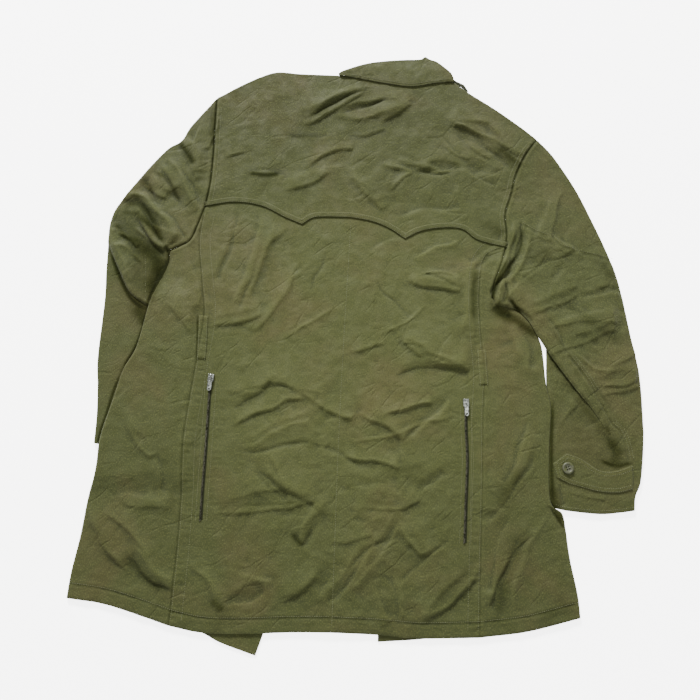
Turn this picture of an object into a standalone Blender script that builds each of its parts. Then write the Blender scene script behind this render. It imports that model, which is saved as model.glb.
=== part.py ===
"""A lined field parka lying on its open fronts, with its back up.

X runs across the garment, Y from the hem to the collar and Z up from the surface it lies on.
Tables and sizes are in millimetres and become metres as a piece is built. Each panel is a wall
of cloth: its outer face comes from its four seams and a height, and its inner face lies one
thickness further in. Neighbours share the points of their seam and stand a small gap apart.
"""
import math

import bmesh
import bpy
from mathutils import Vector
from mathutils.bvhtree import BVHTree

MM = 0.001
UP = Vector((0.0, 0.0, 1.0))

# Driving sizes
WALL = 2.0            # shell and lining together
TRIM = 1.5            # strips and bands sewn on the shell
GAP = 0.3             # between neighbours at a seam
BACK_TOP = 5.6        # outer face of the back over the fronts, where no fold runs
LOWEST_TOP = 4.9      # a trough never comes closer to the cloth beneath
FOREARM_TOP = 4.6     # outer face of the left forearm, which the body lies on
SLEEVE_LIFT = 5.6     # how far the left forearm raises the body
LIFT_SLOPE = 40.0     # width over which the body comes down from it
OVERLAP_RISE = 3.2    # how far the upper arm stands above the forearm at its fold
BODY_REACH = 12.0     # how far a side wraps to the underside
SHOULDER_REACH = 9.0
SLEEVE_REACH = 8.0
FRONT_INSET = 21.0    # where a front begins, in from the side fold
SHOULDER_INSET = 18.0
SLEEVE_INSET = 14.0
BAND_WIDTH = 9.5
BAND_DROP = 1.5       # how far the band hangs below the yoke's seam
STRIP_WIDTH = 14.0
COLLAR_STANDOFF = 0.4
CHAIN_WIDTH = 5.5
ROLL_ANGLES = (90.0, 30.0, -30.0, -90.0)

# How finely each panel is divided
BACK_COLUMNS = 12
SIDE_COLUMNS = 8
LOWER_COLUMNS = 5     # of the right armhole, below the yoke
HOOK_COLUMNS = 5      # of the right side's edge under the arm
BODY_ROWS = 32
YOKE_ROWS = 10
ARMHOLE_COLUMNS = LOWER_COLUMNS + YOKE_ROWS
LEFT_ARM_ROWS = 9
RIGHT_ARM_ROWS = 12
FOREARM_ROWS = 10
FOREARM_COLUMNS = 7
FRONT_ROWS = 22
FRONT_COLUMNS = 14
FLOOR_ROWS = 14       # the pieces that lie flat on the surface
FLOOR_COLUMNS = 6
RELAX_ROUNDS = 40
COLLAR_COLUMNS = 14
SPLINE_STEPS = 16

# Seams and edges, as points (x, y) that a smooth curve runs through
ARMHOLE_LEFT_UPPER = ((-249, 202), (-243, 235), (-240, 282), (-239, 335), (-238, 393))
ARMHOLE_LEFT_LOWER = ((-249, 202), (-258, 175), (-269, 146), (-283, 136), (-304, 126))
ARMHOLE_RIGHT_UPPER = ((228, 133), (230, 156), (229, 187), (240, 221), (249, 254), (266, 289), (287, 318))
ARMHOLE_RIGHT_LOWER = ((228, 133), (217, 102), (206, 72), (202, 50))
SIDE_LEFT = ((-421.2, -393), (-417, -355), (-408, -306), (-401, -252), (-392, -214), (-388, -164),
             (-372, -105), (-361, -64), (-343, -28), (-329, 35), (-317, 71), (-303, 108), (-304, 126))
SIDE_RIGHT = ((308, -420), (306, -387), (298, -338), (294, -301), (290, -274), (272, -257),
              (275, -184), (282, -123), (277, -85), (276, -34), (270, -8))
HOOK_RIGHT = ((202, 50), (208, 32), (220, 22), (245, 13), (270, -8))
HEM_SIDE_LEFT = ((-421.2, -393), (-372, -400), (-329, -412), (-274, -430))
HEM_BACK_LEFT = ((-274, -430), (-229, -439), (-173, -441), (-102, -439), (-46, -439))
HEM_BACK_RIGHT = ((-46, -439), (17, -442), (80, -447), (164, -446))
HEM_SIDE_RIGHT = ((164, -446), (232, -438), (308, -420))
PRINCESS_LEFT = ((-274, -430), (-268, -341), (-265, -250), (-265, -170), (-259, -110), (-251, -48),
                 (-243, 21), (-249, 79), (-256, 143), (-249, 202))
PRINCESS_RIGHT = ((164, -446), (170, -341), (177, -228), (181, -140), (186, -72), (183, -9),
                  (182, 46), (187, 95), (199, 121), (228, 133))
CENTRE_BACK = ((-46, -439), (-41, -285), (-37, -170), (-32, -64), (-26, 46), (-18, 183))
YOKE_EDGE_1 = ((-249, 202), (-202, 209), (-158, 202), (-121, 183), (-94, 171))
YOKE_EDGE_2 = ((-94, 171), (-72, 183), (-18, 183))
YOKE_EDGE_3 = ((-18, 183), (17, 176), (45, 164), (69, 147))
YOKE_EDGE_4 = ((69, 147), (93, 159), (125, 165), (159, 163), (184, 145), (228, 133))
SHOULDER = ((-238, 393), (-201, 415), (-168, 432), (-138, 441), (-101, 437), (-38, 433), (0, 419),
            (60, 409), (110, 412), (140, 421), (158, 420), (174, 406), (221, 373), (260, 342), (287, 318))
OUTER_LEFT = ((-238, 393), (-277, 344), (-292, 317), (-315, 301), (-346, 264), (-384, 211),
              (-398, 180), (-400, 140))
ELBOW_LEFT = ((-400, 140), (-394, 126))
FOLD_LEFT = ((-394, 126), (-381, 98), (-360, 58), (-329, 35))
BESIDE_BODY_LEFT = ((-304, 126), (-305, 108), (-319.5, 71), (-329, 35))
FOREARM_LEFT_OUTER = ((-399, -174), (-398, -132), (-400, -87), (-403, -44), (-399, 46), (-400, 95), (-400, 140))
FOREARM_LEFT_TOP = ((-394, 126), (-372, 104), (-346, 68), (-331, 46), (-308, 37), (-283, 34))
FOREARM_LEFT_INNER = ((-285, -190), (-280, -79), (-283, 34))
UNDER_BODY_LEFT = ((-283, 34), (-308, 36), (-332, 44))
UNDER_ARM_LEFT = ((-332, 44), (-322, 70), (-307.5, 106), (-307, 125))
CUFF_LEFT = ((-399, -174), (-342, -184), (-285, -190))
OUTER_RIGHT = ((287, 318), (311, 289), (343, 233), (364, 183), (385, 128), (401, 72), (412, -6),
               (421, -79), (420, -158))
FOLD_RIGHT_FREE = ((202, 50), (210, 35), (222, 26), (246, 18), (272, -4), (291, -45), (327, -99), (340, -117))
FOLD_RIGHT_SEWN = ((340, -117), (354, -138), (367, -162))
ELBOW_RIGHT = ((367, -162), (420, -158))
FOREARM_RIGHT_TOP = ((284, -32), (312, -50), (337, -92), (340, -117))
FOREARM_RIGHT_INNER = ((284, -32), (280, -87), (286, -125), (280, -192), (278, -250), (287, -266))
UNDER_ARM_RIGHT = ((202, 50), (209, 34), (221, 25), (246, 17), (274, -7), (284, -32))
FOREARM_RIGHT_OUTER = ((420, -158), (415, -199), (409, -232), (400, -252), (397, -272))
CUFF_RIGHT = ((287, -266), (309, -272), (345, -277), (375, -275), (397, -272))
FRONT_LEFT_EDGE = ((-151, -470), (-140, -440), (-104, -341), (-48, -110), (-2, 128), (23, 386))
FRONT_LEFT_HEM = ((-396, -393), (-329, -409), (-274, -427), (-229, -439), (-200, -453), (-151, -470))
FRONT_LEFT_TOP = ((-239, 374), (-201, 396), (-138, 422), (-38, 414), (23, 386))
FRONT_RIGHT_EDGE = ((21, -452), (25, -341), (42, -110), (61, 128), (81, 386))
FRONT_RIGHT_HEM = ((21, -452), (52, -451), (94, -447), (164, -443), (232, -435), (286, -421))
FRONT_RIGHT_TOP = ((81, 386), (158, 396), (212, 356), (275, 304))
COLLAR_FOLD = ((-37, 438), (-26, 444), (15, 458), (66, 464), (99, 465), (108, 470), (116, 465),
               (128, 460), (141, 448), (150, 439), (154, 430))
COLLAR_FALL = ((-35, 434), (15, 424), (40, 419), (82, 413), (123, 419), (154, 422))
STAND_TOP = ((-24, 441), (15, 454), (66, 461), (99, 462), (128, 456), (148, 436), (152, 427),
             (164, 425), (174, 417), (179, 407))
STAND_BASE = ((175.5, 406.8), (169, 412.8), (160, 420.6), (140, 422.2), (110, 413.1), (60, 410.1),
              (0, 420.1), (-20, 427.6))
TAB_TOP = ((286, -196), (302, -189), (323, -197), (350, -214), (375, -214), (398, -206))
TAB_BASE = ((285, -225), (302, -234), (343, -245), (374, -247), (396, -242))
TAB_TIP = ((285, -225), (280, -209), (286, -196))
TAB_SEAM = ((396, -242), (399, -224), (398, -206))
BUTTON_PLACE = (302, -211)
BUTTON_PROFILE = (
    # radius, height, from the middle of the face to the middle of the back
    (0.0, 2.1), (5.6, 2.1), (6.8, 3.0), (8.8, 3.0), (10.0, 2.2), (10.0, 1.0), (8.4, 0.0), (0.0, 0.0),
)
STRIP_LEFT = ((-243, 21), (-243, -12), (-244, -48))
STRIP_RIGHT = ((182, -33), (183, -60), (184, -87))
ZIP_LEFT = ((-228.5, -82.2), (-229, -110), (-231, -184), (-233, -242), (-234, -285))
ZIP_RIGHT = ((156, -120), (155.5, -155), (156, -199), (152, -257), (148, -317))

# The zips' hardware: where each slider's hinge is and how far it is turned from straight down
SLIDERS = (
    # side, x, y, turn in degrees
    ("left", -228.0, -76.0, -7.0),
    ("right", 156.0, -114.0, 2.0),
)
SLIDER_SIZE = (8.5, 11.0, 3.0)      # across, along, tall
BRIDGE_SIZE = (2.0, 7.4, 3.8)
BRIDGE_MOUTH = (4.4, 2.6)           # along, tall
MOUTH_SILL = 0.2
PULL_LENGTH = 21.0
PULL_WIDTH = 6.4
PULL_THICKNESS = 1.1
PULL_EYE = (2.9, 4.2)
PULL_BAR = 1.2
PULL_HOLE = 1.3
PULL_TILT = 6.0

# The largest folds: a soft ridge (height above zero) or trough (below) along a straight run
FOLDS = (
    # x0, y0, x1, y1, half width, height
    (-93, 352, 7, 410, 17, 3.6),
    (-93, 330, 10, 366, 16, -2.0),
    (-34, 352, 56, 372, 15, 3.0),
    (-121, 240, -40, 266, 16, 2.6),
    (-18, 268, 25, 212, 17, 3.2),
    (40, 246, 90, 272, 17, -2.2),
    (96, 276, 160, 276, 16, 3.4),
    (160, 276, 214, 250, 15, 2.8),
    (142, 358, 203, 345, 16, 4.2),
    (203, 345, 262, 290, 16, 4.6),
    (150, 330, 196, 318, 15, -1.8),
    (175, 300, 214, 268, 15, 2.4),
    (36, 360, 81, 390, 15, 2.6),
    (-205, 190, -230, 88, 15, 2.2),
    (-130, 178, -185, 60, 17, 2.4),
    (-80, 112, -150, 4, 16, 2.2),
    (-230, 16, -160, 30, 16, 2.6),
    (-188, -108, -139, -72, 15, 2.8),
    (-139, -70, -60, -100, 16, 2.4),
    (-175, -166, -78, -124, 16, 2.2),
    (-146, -196, -94, -250, 16, 4.0),
    (-205, -256, -80, -246, 16, 3.2),
    (-96, -300, -60, -262, 15, 3.4),
    (-226, -350, -196, -404, 17, 3.6),
    (-190, -388, -143, -372, 15, 2.6),
    (-120, -394, -67, -350, 17, 3.8),
    (64, 84, 150, 70, 17, 2.6),
    (163, 100, 158, 6, 15, 4.4),
    (60, -10, 152, -52, 16, 4.2),
    (50, -56, 140, -60, 15, 2.2),
    (0, -116, 62, -156, 16, 2.6),
    (60, -164, 130, -104, 15, -2.0),
    (80, -240, 120, -208, 15, 2.4),
    (52, -276, -2, -362, 17, 3.6),
    (66, -290, 90, -334, 15, 2.8),
    (10, -312, -52, -386, 16, 2.6),
    (150, -352, 86, -414, 17, 4.0),
    (250, -176, 196, -268, 17, 3.8),
    (236, -132, 214, -214, 15, -2.0),
    (238, -290, 184, -386, 17, 4.2),
    (232, -2, 250, -64, 15, 2.6),
    (-290, 50, -262, 10, 15, 2.6),
    (-352, -132, -312, -184, 16, 2.4),
    (-350, -250, -290, -254, 16, 2.8),
    (-398, -276, -346, -340, 17, 3.6),
    (-360, -272, -314, -324, 15, 2.6),
    (-322, -330, -276, -370, 16, 2.6),
    (-285, 322, -258, 262, 15, 3.4),
    (-323, 268, -297, 234, 14, 3.2),
    (-342, 252, -300, 224, 14, 3.2),
    (-350, 212, -296, 150, 16, 4.6),
    (-372, 184, -330, 140, 14, -2.2),
    (-282, 262, -250, 212, 14, 2.4),
    (230, 58, 306, 124, 15, 3.4),
    (262, 40, 331, 68, 15, 3.6),
    (292, 12, 380, 24, 16, 4.0),
    (322, -12, 384, 12, 15, 3.6),
    (330, 60, 396, 72, 15, 2.8),
    (360, -74, 416, -66, 15, 3.2),
    (300, 210, 284, 150, 15, 2.6),
    (312, -120, 326, -104, 14, 1.8),
    (258, 176, 214, 74, 13, 4.8),
)

OLIVE = (0.118, 0.122, 0.052)
DARK_OLIVE = (0.060, 0.066, 0.030)
ZIP_DARK = (0.020, 0.022, 0.016)
SILVER = (0.62, 0.62, 0.60)
BUTTON_GREEN = (0.24, 0.25, 0.18)


def spline(points, count):
    """A smooth curve through the points, as count + 1 points spaced evenly along it."""
    knots = [Vector(point) for point in points]
    knots = [2 * knots[0] - knots[1]] + knots + [2 * knots[-1] - knots[-2]]
    dense = []
    for before, start, end, after in zip(knots, knots[1:], knots[2:], knots[3:]):
        for step in range(SPLINE_STEPS):
            t = step / SPLINE_STEPS
            bend = (2 * before - 5 * start + 4 * end - after) * t * t
            twist = (3 * start - before - 3 * end + after) * t ** 3
            dense.append(0.5 * (2 * start + (end - before) * t + bend + twist))
    dense.append(knots[-2])
    return spaced(dense, count)


def spaced(line, count):
    """The same line as count + 1 evenly spaced points."""
    lengths = [0.0]
    for start, end in zip(line, line[1:]):
        lengths.append(lengths[-1] + (end - start).length)
    points = []
    step = 0
    for number in range(count + 1):
        target = lengths[-1] * number / count
        while step < len(line) - 2 and lengths[step + 1] < target:
            step += 1
        span = lengths[step + 1] - lengths[step]
        share = (target - lengths[step]) / span
        points.append(line[step].lerp(line[step + 1], min(max(share, 0.0), 1.0)))
    return points


def joined(*lines):
    """Lines laid end to end, without their shared points twice."""
    points = list(lines[0])
    for line in lines[1:]:
        points += line[1:]
    return points


def shortened(line, first, last):
    """The line without the given lengths at its two ends."""
    for length in (first, last):
        line = list(line)
        while (line[1] - line[0]).length <= length:
            length -= (line[1] - line[0]).length
            line = line[1:]
        line[0] = line[0] + (line[1] - line[0]).normalized() * length
        line = line[::-1]
    return line


def shifted(line, distance):
    """The line moved to its left, or to its right where the distance is negative."""
    points = []
    for number, point in enumerate(line):
        along = line[min(number + 1, len(line) - 1)] - line[max(number - 1, 0)]
        points.append(point + Vector((-along.y, along.x)).normalized() * distance)
    return points


def patch(near, far, left, right, haste=1.0):
    """Rows of points between four seams: near and far run from left to right, the others to far.

    With a haste under 1 the rows leave the shape of the near seam sooner.
    """
    columns = len(near) - 1
    rows = len(left) - 1
    grid = []
    for j in range(rows + 1):
        v = (j / rows) ** haste
        row = []
        for i in range(columns + 1):
            u = i / columns
            corners = near[0] * (1 - u) * (1 - v) + near[-1] * u * (1 - v)
            corners += far[0] * (1 - u) * v + far[-1] * u * v
            row.append(near[i] * (1 - v) + far[i] * v + left[j] * (1 - u) + right[j] * u - corners)
        grid.append(row)
    return grid


def relaxed(grid):
    """The grid with every inner point eased towards the middle of its neighbours."""
    for _ in range(RELAX_ROUNDS):
        for j in range(1, len(grid) - 1):
            for i in range(1, len(grid[0]) - 1):
                grid[j][i] = (grid[j - 1][i] + grid[j + 1][i] + grid[j][i - 1] + grid[j][i + 1]) / 4.0
    return grid


def border(rows, columns):
    """The places (row, column) round the edge of a grid, in order."""
    places = [(0, i) for i in range(columns)]
    places += [(j, columns) for j in range(rows)]
    places += [(rows, columns - i) for i in range(columns)]
    places += [(rows - j, 0) for j in range(rows)]
    return places


def parted(grid, gap=GAP / 2):
    """The grid with its edge drawn in by half the gap between neighbours."""
    places = border(len(grid) - 1, len(grid[0]) - 1)
    points = [grid[j][i] for j, i in places]
    area = sum(a.x * b.y - b.x * a.y for a, b in zip(points, points[1:] + points[:1]))
    turn = 1.0 if area > 0 else -1.0
    drawn = [list(row) for row in grid]
    for number, (j, i) in enumerate(places):
        before = (points[number] - points[number - 1]).normalized()
        after = (points[(number + 1) % len(points)] - points[number]).normalized()
        inward = Vector((-before.y - after.y, before.x + after.x)) * turn
        size = max(inward.length, 0.6)
        drawn[j][i] = points[number] + inward.normalized() * gap * 2.0 / size
    return drawn


def trimmed(grid, first, last):
    """The grid with its first and last columns moved in along their rows."""
    drawn = [list(row) for row in grid]
    for row in drawn:
        if first:
            row[0] = row[0] + (row[1] - row[0]).normalized() * first
        if last:
            row[-1] = row[-1] + (row[-2] - row[-1]).normalized() * last
    return drawn


def smooth(value):
    value = min(max(value, 0.0), 1.0)
    return value * value * (3.0 - 2.0 * value)


def nearest(point, line):
    """The distance from a point to a line and how far along it, from 0 to 1."""
    best = (math.inf, 0.0)
    spans = len(line) - 1
    for number in range(spans):
        start = line[number]
        run = line[number + 1] - start
        share = min(max((point - start).dot(run) / run.length_squared, 0.0), 1.0)
        distance = (point - start - run * share).length
        if distance < best[0]:
            best = (distance, (number + share) / spans)
    return best


def fold_height(point):
    """The sum of the folds at a point, calmed beside the yoke's edge and the zips."""
    total = 0.0
    for x0, y0, x1, y1, width, height in FOLDS:
        distance, _ = nearest(point, (Vector((x0, y0)), Vector((x1, y1))))
        if distance < 2.6 * width:
            total += height * math.exp(-((distance / width) ** 2))
    calm = 1.0
    for line, full, fade in CALM_LINES:
        distance, _ = nearest(point, line)
        calm = min(calm, smooth((distance - full) / fade))
    return total * calm


def sleeve_lift(point):
    """How far the left forearm raises the cloth that lies on it."""
    across = max(-420.0 - point.x, point.x + 272.0, 0.0)
    along = max(-212.0 - point.y, point.y - 46.0, 0.0)
    return SLEEVE_LIFT * smooth(1.0 - math.hypot(across, along) / LIFT_SLOPE)


def back_height(point):
    return sleeve_lift(point) + max(LOWEST_TOP, BACK_TOP + fold_height(point))


def upper_left_height(point):
    distance, _ = nearest(point, FOLD_LEFT_LINE)
    rise = OVERLAP_RISE * 0.6 * smooth(1.0 - (distance - 16.0) / 30.0)
    return max(LOWEST_TOP, BACK_TOP + fold_height(point)) + rise


def upper_right_height(point):
    distance, share = nearest(point, FOLD_RIGHT_LINE)
    rise = OVERLAP_RISE * smooth(1.0 - (distance - 18.0) / 34.0) * smooth((1.0 - share) / 0.3)
    return max(LOWEST_TOP, BACK_TOP + fold_height(point)) + rise


def forearm_right_height(point):
    return max(LOWEST_TOP, BACK_TOP + fold_height(point))


def forearm_left_height(point):
    return FOREARM_TOP


def front_height(point):
    return sleeve_lift(point) + WALL


def floor_height(point):
    return WALL


def collar_height(point):
    """Over the yoke the fall lies on its cloth; past the neck it comes down to the stand."""
    distance, _ = nearest(point, NECK_LINE)
    beyond = distance if point.y > NECK_LINE[0].y - 20.0 and above(point, NECK_LINE) else 0.0
    over = BACK_TOP + GAP + WALL + COLLAR_STANDOFF
    return over - (over - 2 * WALL - GAP) * smooth((beyond - 8.0) / 40.0)


def above(point, line):
    """Whether a point lies on the far side of a line that runs from left to right."""
    for start, end in zip(line, line[1:]):
        if start.x <= point.x <= end.x:
            return point.y > start.y + (end.y - start.y) * (point.x - start.x) / (end.x - start.x)
    return True


def draped(grid, height, thickness=WALL):
    """Pairs of an outer and an inner point, with the outer one at the height given."""
    rows = []
    for row in grid:
        pairs = []
        for point in row:
            outer = Vector((point.x, point.y, height(point)))
            pairs.append((outer, outer - UP * thickness))
        rows.append(pairs)
    return rows


def rolled(section, out, low, reach):
    """One row of a panel folded round its edge and under, down to the level low."""
    edge = section[-1][0]
    radius = (edge.z - low) / 2.0
    centre = Vector((edge.x, edge.y, low + radius)) - out * radius
    pairs = section[:-1]
    for angle in ROLL_ANGLES:
        normal = out * math.cos(math.radians(angle)) + UP * math.sin(math.radians(angle))
        pairs.append((centre + normal * radius, centre + normal * (radius - WALL)))
    under = Vector((centre.x, centre.y, low)) - out * reach
    pairs.append((under, under + UP * WALL))
    return pairs


def rolled_rows(rows, low, reach, first=False, last=False):
    """Each row rolled at its last point, its first point or both."""
    if first:
        mirrored = rolled_rows([row[::-1] for row in rows], low, reach, last=True)
        rows = [row[::-1] for row in mirrored]
    if not last:
        return rows
    line = [row[-1][0].to_2d() for row in rows]
    outward = [beyond - point for beyond, point in zip(shifted(line, 1.0), line)]
    middle = rows[len(rows) // 2]
    if outward[len(rows) // 2].dot((middle[-1][0] - middle[-2][0]).to_2d()) < 0:
        outward = [-out for out in outward]
    for end in (0, -1):
        outward[end] = (rows[end][-1][0] - rows[end][-2][0]).to_2d().normalized()
    result = []
    for row, out in zip(rows, outward):
        result.append(rolled(row, out.to_3d(), low(row[-1][0]), reach))
    return result


def turned(rows):
    """The grid with its rows and columns exchanged."""
    return [list(column) for column in zip(*rows)]


def on_floor(point):
    return 0.0


def material(name, colour, roughness, metallic):
    shade = bpy.data.materials.new(name)
    shade.use_nodes = True
    principled = shade.node_tree.nodes["Principled BSDF"]
    principled.inputs["Base Color"].default_value = (*colour, 1.0)
    principled.inputs["Roughness"].default_value = roughness
    principled.inputs["Metallic"].default_value = metallic
    return shade


def add_object(name, mesh, colour, roughness=0.85, metallic=0.0, smooth_faces=True):
    piece = bpy.data.objects.new(name, mesh)
    PARKA.objects.link(piece)
    mesh.materials.append(material(name + "_finish", colour, roughness, metallic))
    if smooth_faces and hasattr(mesh, "shade_smooth"):
        mesh.shade_smooth()
    return piece


def add_wall(name, rows, colour=OLIVE):
    """A closed wall of cloth from rows of outer and inner points, and the tree of its outer face."""
    bm = bmesh.new()
    columns = len(rows[0]) - 1
    bmesh.ops.create_grid(bm, x_segments=columns, y_segments=len(rows) - 1, size=1.0)
    order = bm.verts.layers.int.new("order")
    for number, vertex in enumerate(bm.verts):
        vertex[order] = number
    pairs = [pair for row in rows for pair in row]
    faces = [[corner[order] for corner in face.verts] for face in bm.faces]
    extruded = bmesh.ops.extrude_face_region(bm, geom=bm.faces[:])
    inner = {item for item in extruded["geom"] if isinstance(item, bmesh.types.BMVert)}
    for vertex in bm.verts:
        vertex.co = pairs[vertex[order]][1 if vertex in inner else 0] * MM
    bmesh.ops.recalc_face_normals(bm, faces=bm.faces[:])
    mesh = bpy.data.meshes.new(name)
    bm.to_mesh(mesh)
    bm.free()
    add_object(name, mesh, colour)
    SURFACES.append(BVHTree.FromPolygons([pair[0] for pair in pairs], faces))


def seat(point):
    """The highest cloth under a point of the plan."""
    highest = 0.0
    for surface in SURFACES:
        hit = surface.ray_cast(Vector((point.x, point.y, 100.0)), -UP)[0]
        if hit is not None:
            highest = max(highest, hit.z)
    return highest


def highest_near(point, reach):
    offsets = ((0.0, 0.0), (reach, 0.0), (-reach, 0.0), (0.0, reach), (0.0, -reach))
    return max(seat(point + Vector(offset)) for offset in offsets)


def overlay(name, grid, colour, thickness, lowest):
    """A piece sewn on a panel: its grid is seated on the cloth beneath and moved out by a gap."""
    heights = [[max(highest_near(point, 3.0), lowest) for point in row] for row in grid]
    rows = []
    for row, levels in zip(grid, heights):
        pairs = []
        for point, level in zip(row, levels):
            inner = Vector((point.x, point.y, level + GAP))
            pairs.append((inner + UP * thickness, inner))
        rows.append(pairs)
    add_wall(name, rows, colour)


def ribbon(line, width, columns=1):
    """A grid of the given width along a line."""
    left = shifted(line, width / 2.0)
    right = shifted(line, -width / 2.0)
    rows = []
    for start, end in zip(left, right):
        rows.append([start.lerp(end, number / columns) for number in range(columns + 1)])
    return rows


def add_slab(name, outlines, low, thickness, colour, roughness=0.85, metallic=0.0):
    """A flat piece from closed outlines, the first its edge and the others its holes."""
    bm = bmesh.new()
    edges = []
    for outline in outlines:
        corners = [bm.verts.new(Vector((point.x, point.y, low)) * MM) for point in outline]
        for start, end in zip(corners, corners[1:] + corners[:1]):
            edges.append(bm.edges.new((start, end)))
    bmesh.ops.triangle_fill(bm, edges=edges, use_beauty=True, use_dissolve=False)
    extruded = bmesh.ops.extrude_face_region(bm, geom=bm.faces[:])
    raised = [item for item in extruded["geom"] if isinstance(item, bmesh.types.BMVert)]
    bmesh.ops.translate(bm, vec=UP * thickness * MM, verts=raised)
    bmesh.ops.recalc_face_normals(bm, faces=bm.faces[:])
    mesh = bpy.data.meshes.new(name)
    bm.to_mesh(mesh)
    bm.free()
    return add_object(name, mesh, colour, roughness, metallic, smooth_faces=False)


def arc(centre, radius, start, end, count):
    points = []
    for number in range(count + 1):
        angle = math.radians(start + (end - start) * number / count)
        points.append(Vector((centre[0] + radius * math.cos(angle), centre[1] + radius * math.sin(angle))))
    return points


def add_body():
    """The yoke, the two backs and the sides that wrap to the underside."""
    centre = spline(CENTRE_BACK, BODY_ROWS)
    princess_left = spline(PRINCESS_LEFT, BODY_ROWS)
    princess_right = spline(PRINCESS_RIGHT, BODY_ROWS)

    grid = parted(patch(spline(HEM_BACK_LEFT, BACK_COLUMNS), YOKE_LEFT, princess_left, centre))
    add_wall("back_left", draped(grid, back_height))
    grid = parted(patch(spline(HEM_BACK_RIGHT, BACK_COLUMNS), YOKE_RIGHT, centre, princess_right))
    add_wall("back_right", draped(grid, back_height))

    hem = spline(HEM_SIDE_LEFT, SIDE_COLUMNS)
    armhole = ARMHOLE_LEFT[:SIDE_COLUMNS + 1]
    grid = parted(patch(hem, armhole, spline(SIDE_LEFT, BODY_ROWS), princess_left))
    add_wall("side_left", rolled_rows(draped(grid, back_height), sleeve_lift, BODY_REACH, first=True))
    hem = spline(HEM_SIDE_RIGHT, LOWER_COLUMNS + HOOK_COLUMNS)
    armhole = joined(ARMHOLE_RIGHT[LOWER_COLUMNS::-1], spline(HOOK_RIGHT, HOOK_COLUMNS))
    grid = parted(patch(hem, armhole, princess_right, spline(SIDE_RIGHT, BODY_ROWS)))
    add_wall("side_right", rolled_rows(draped(grid, back_height), on_floor, BODY_REACH, last=True))

    left = ARMHOLE_LEFT[SIDE_COLUMNS:]
    right = ARMHOLE_RIGHT[LOWER_COLUMNS:]
    grid = parted(patch(YOKE_LINE, NECK_LINE, left, right))
    rows = rolled_rows(turned(draped(grid, back_height)), on_floor, SHOULDER_REACH, last=True)
    add_wall("back_yoke", turned(rows))


def add_fronts():
    """The two fronts, open along the middle; the left one lies over the sleeve beneath it."""
    side = shifted(spline(SIDE_LEFT, FRONT_ROWS), -FRONT_INSET)
    left = side + shortened(ARMHOLE_LEFT[::2], 2 * FRONT_INSET, SHOULDER_INSET)
    hem = spline(FRONT_LEFT_HEM, FRONT_COLUMNS)
    edge = spline(FRONT_LEFT_EDGE, len(left) - 1)
    top = spline(FRONT_LEFT_TOP, FRONT_COLUMNS)
    left[0], left[-1] = hem[0], top[0]
    add_wall("front_left", draped(parted(patch(hem, top, left, edge)), front_height))

    side = joined(spline(SIDE_RIGHT, 2 * FLOOR_ROWS), spline(HOOK_RIGHT, HOOK_COLUMNS)[::-1])
    side = shifted(side, FRONT_INSET)
    armhole = shortened(ARMHOLE_RIGHT, FRONT_INSET + 6.0, SHOULDER_INSET)
    top = spline(FRONT_RIGHT_TOP, FLOOR_COLUMNS)[::-1]
    edge = spline(FRONT_RIGHT_EDGE, FLOOR_ROWS)[::-1]
    hem = spline(FRONT_RIGHT_HEM, FLOOR_COLUMNS)
    add_slab("front_right", [side[1:] + armhole[:-1] + top + edge[1:] + hem[1:]], 0.0, WALL, OLIVE)


def add_left_sleeve():
    """The upper arm lies on the forearm, and the forearm runs on under the body."""
    beside = joined(spline(BESIDE_BODY_LEFT, SIDE_COLUMNS)[::-1], ARMHOLE_LEFT[:SIDE_COLUMNS + 1])
    outer = spline(OUTER_LEFT, len(beside) - 1)[::-1]
    grid = parted(relaxed(patch(FOLD_LEFT_LINE, ARMHOLE_LEFT[:SIDE_COLUMNS - 1:-1], outer, beside)))
    rows = rolled_rows(draped(grid, upper_left_height), on_floor, SLEEVE_REACH, first=True)
    add_wall("sleeve_left_upper", rows)

    top = joined(spline(ELBOW_LEFT, 1), spline(FOREARM_LEFT_TOP, FOREARM_COLUMNS - 1))
    outer = spline(FOREARM_LEFT_OUTER, FOREARM_ROWS)
    inner = spline(FOREARM_LEFT_INNER, FOREARM_ROWS)
    grid = parted(patch(spline(CUFF_LEFT, FOREARM_COLUMNS), top, outer, inner))
    rows = rolled_rows(draped(grid, forearm_left_height), on_floor, SLEEVE_REACH, first=True)
    add_wall("sleeve_left_forearm", rows)

    armhole = shifted(shortened(ARMHOLE_LEFT, 6.0, 2 * SLEEVE_INSET), 2.5)
    outer = shifted(spline(OUTER_LEFT[:-1] + FOREARM_LEFT_OUTER[::-1], 2 * FLOOR_ROWS), SLEEVE_INSET)
    outer = shortened(outer, 1.4 * SLEEVE_INSET, 0.1)
    inner = joined(spline(FOREARM_LEFT_INNER, 6), spline(UNDER_BODY_LEFT, 4), spline(UNDER_ARM_LEFT, 5))
    add_slab("sleeve_left_front", [outer + inner + armhole], 0.0, WALL, OLIVE)


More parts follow.
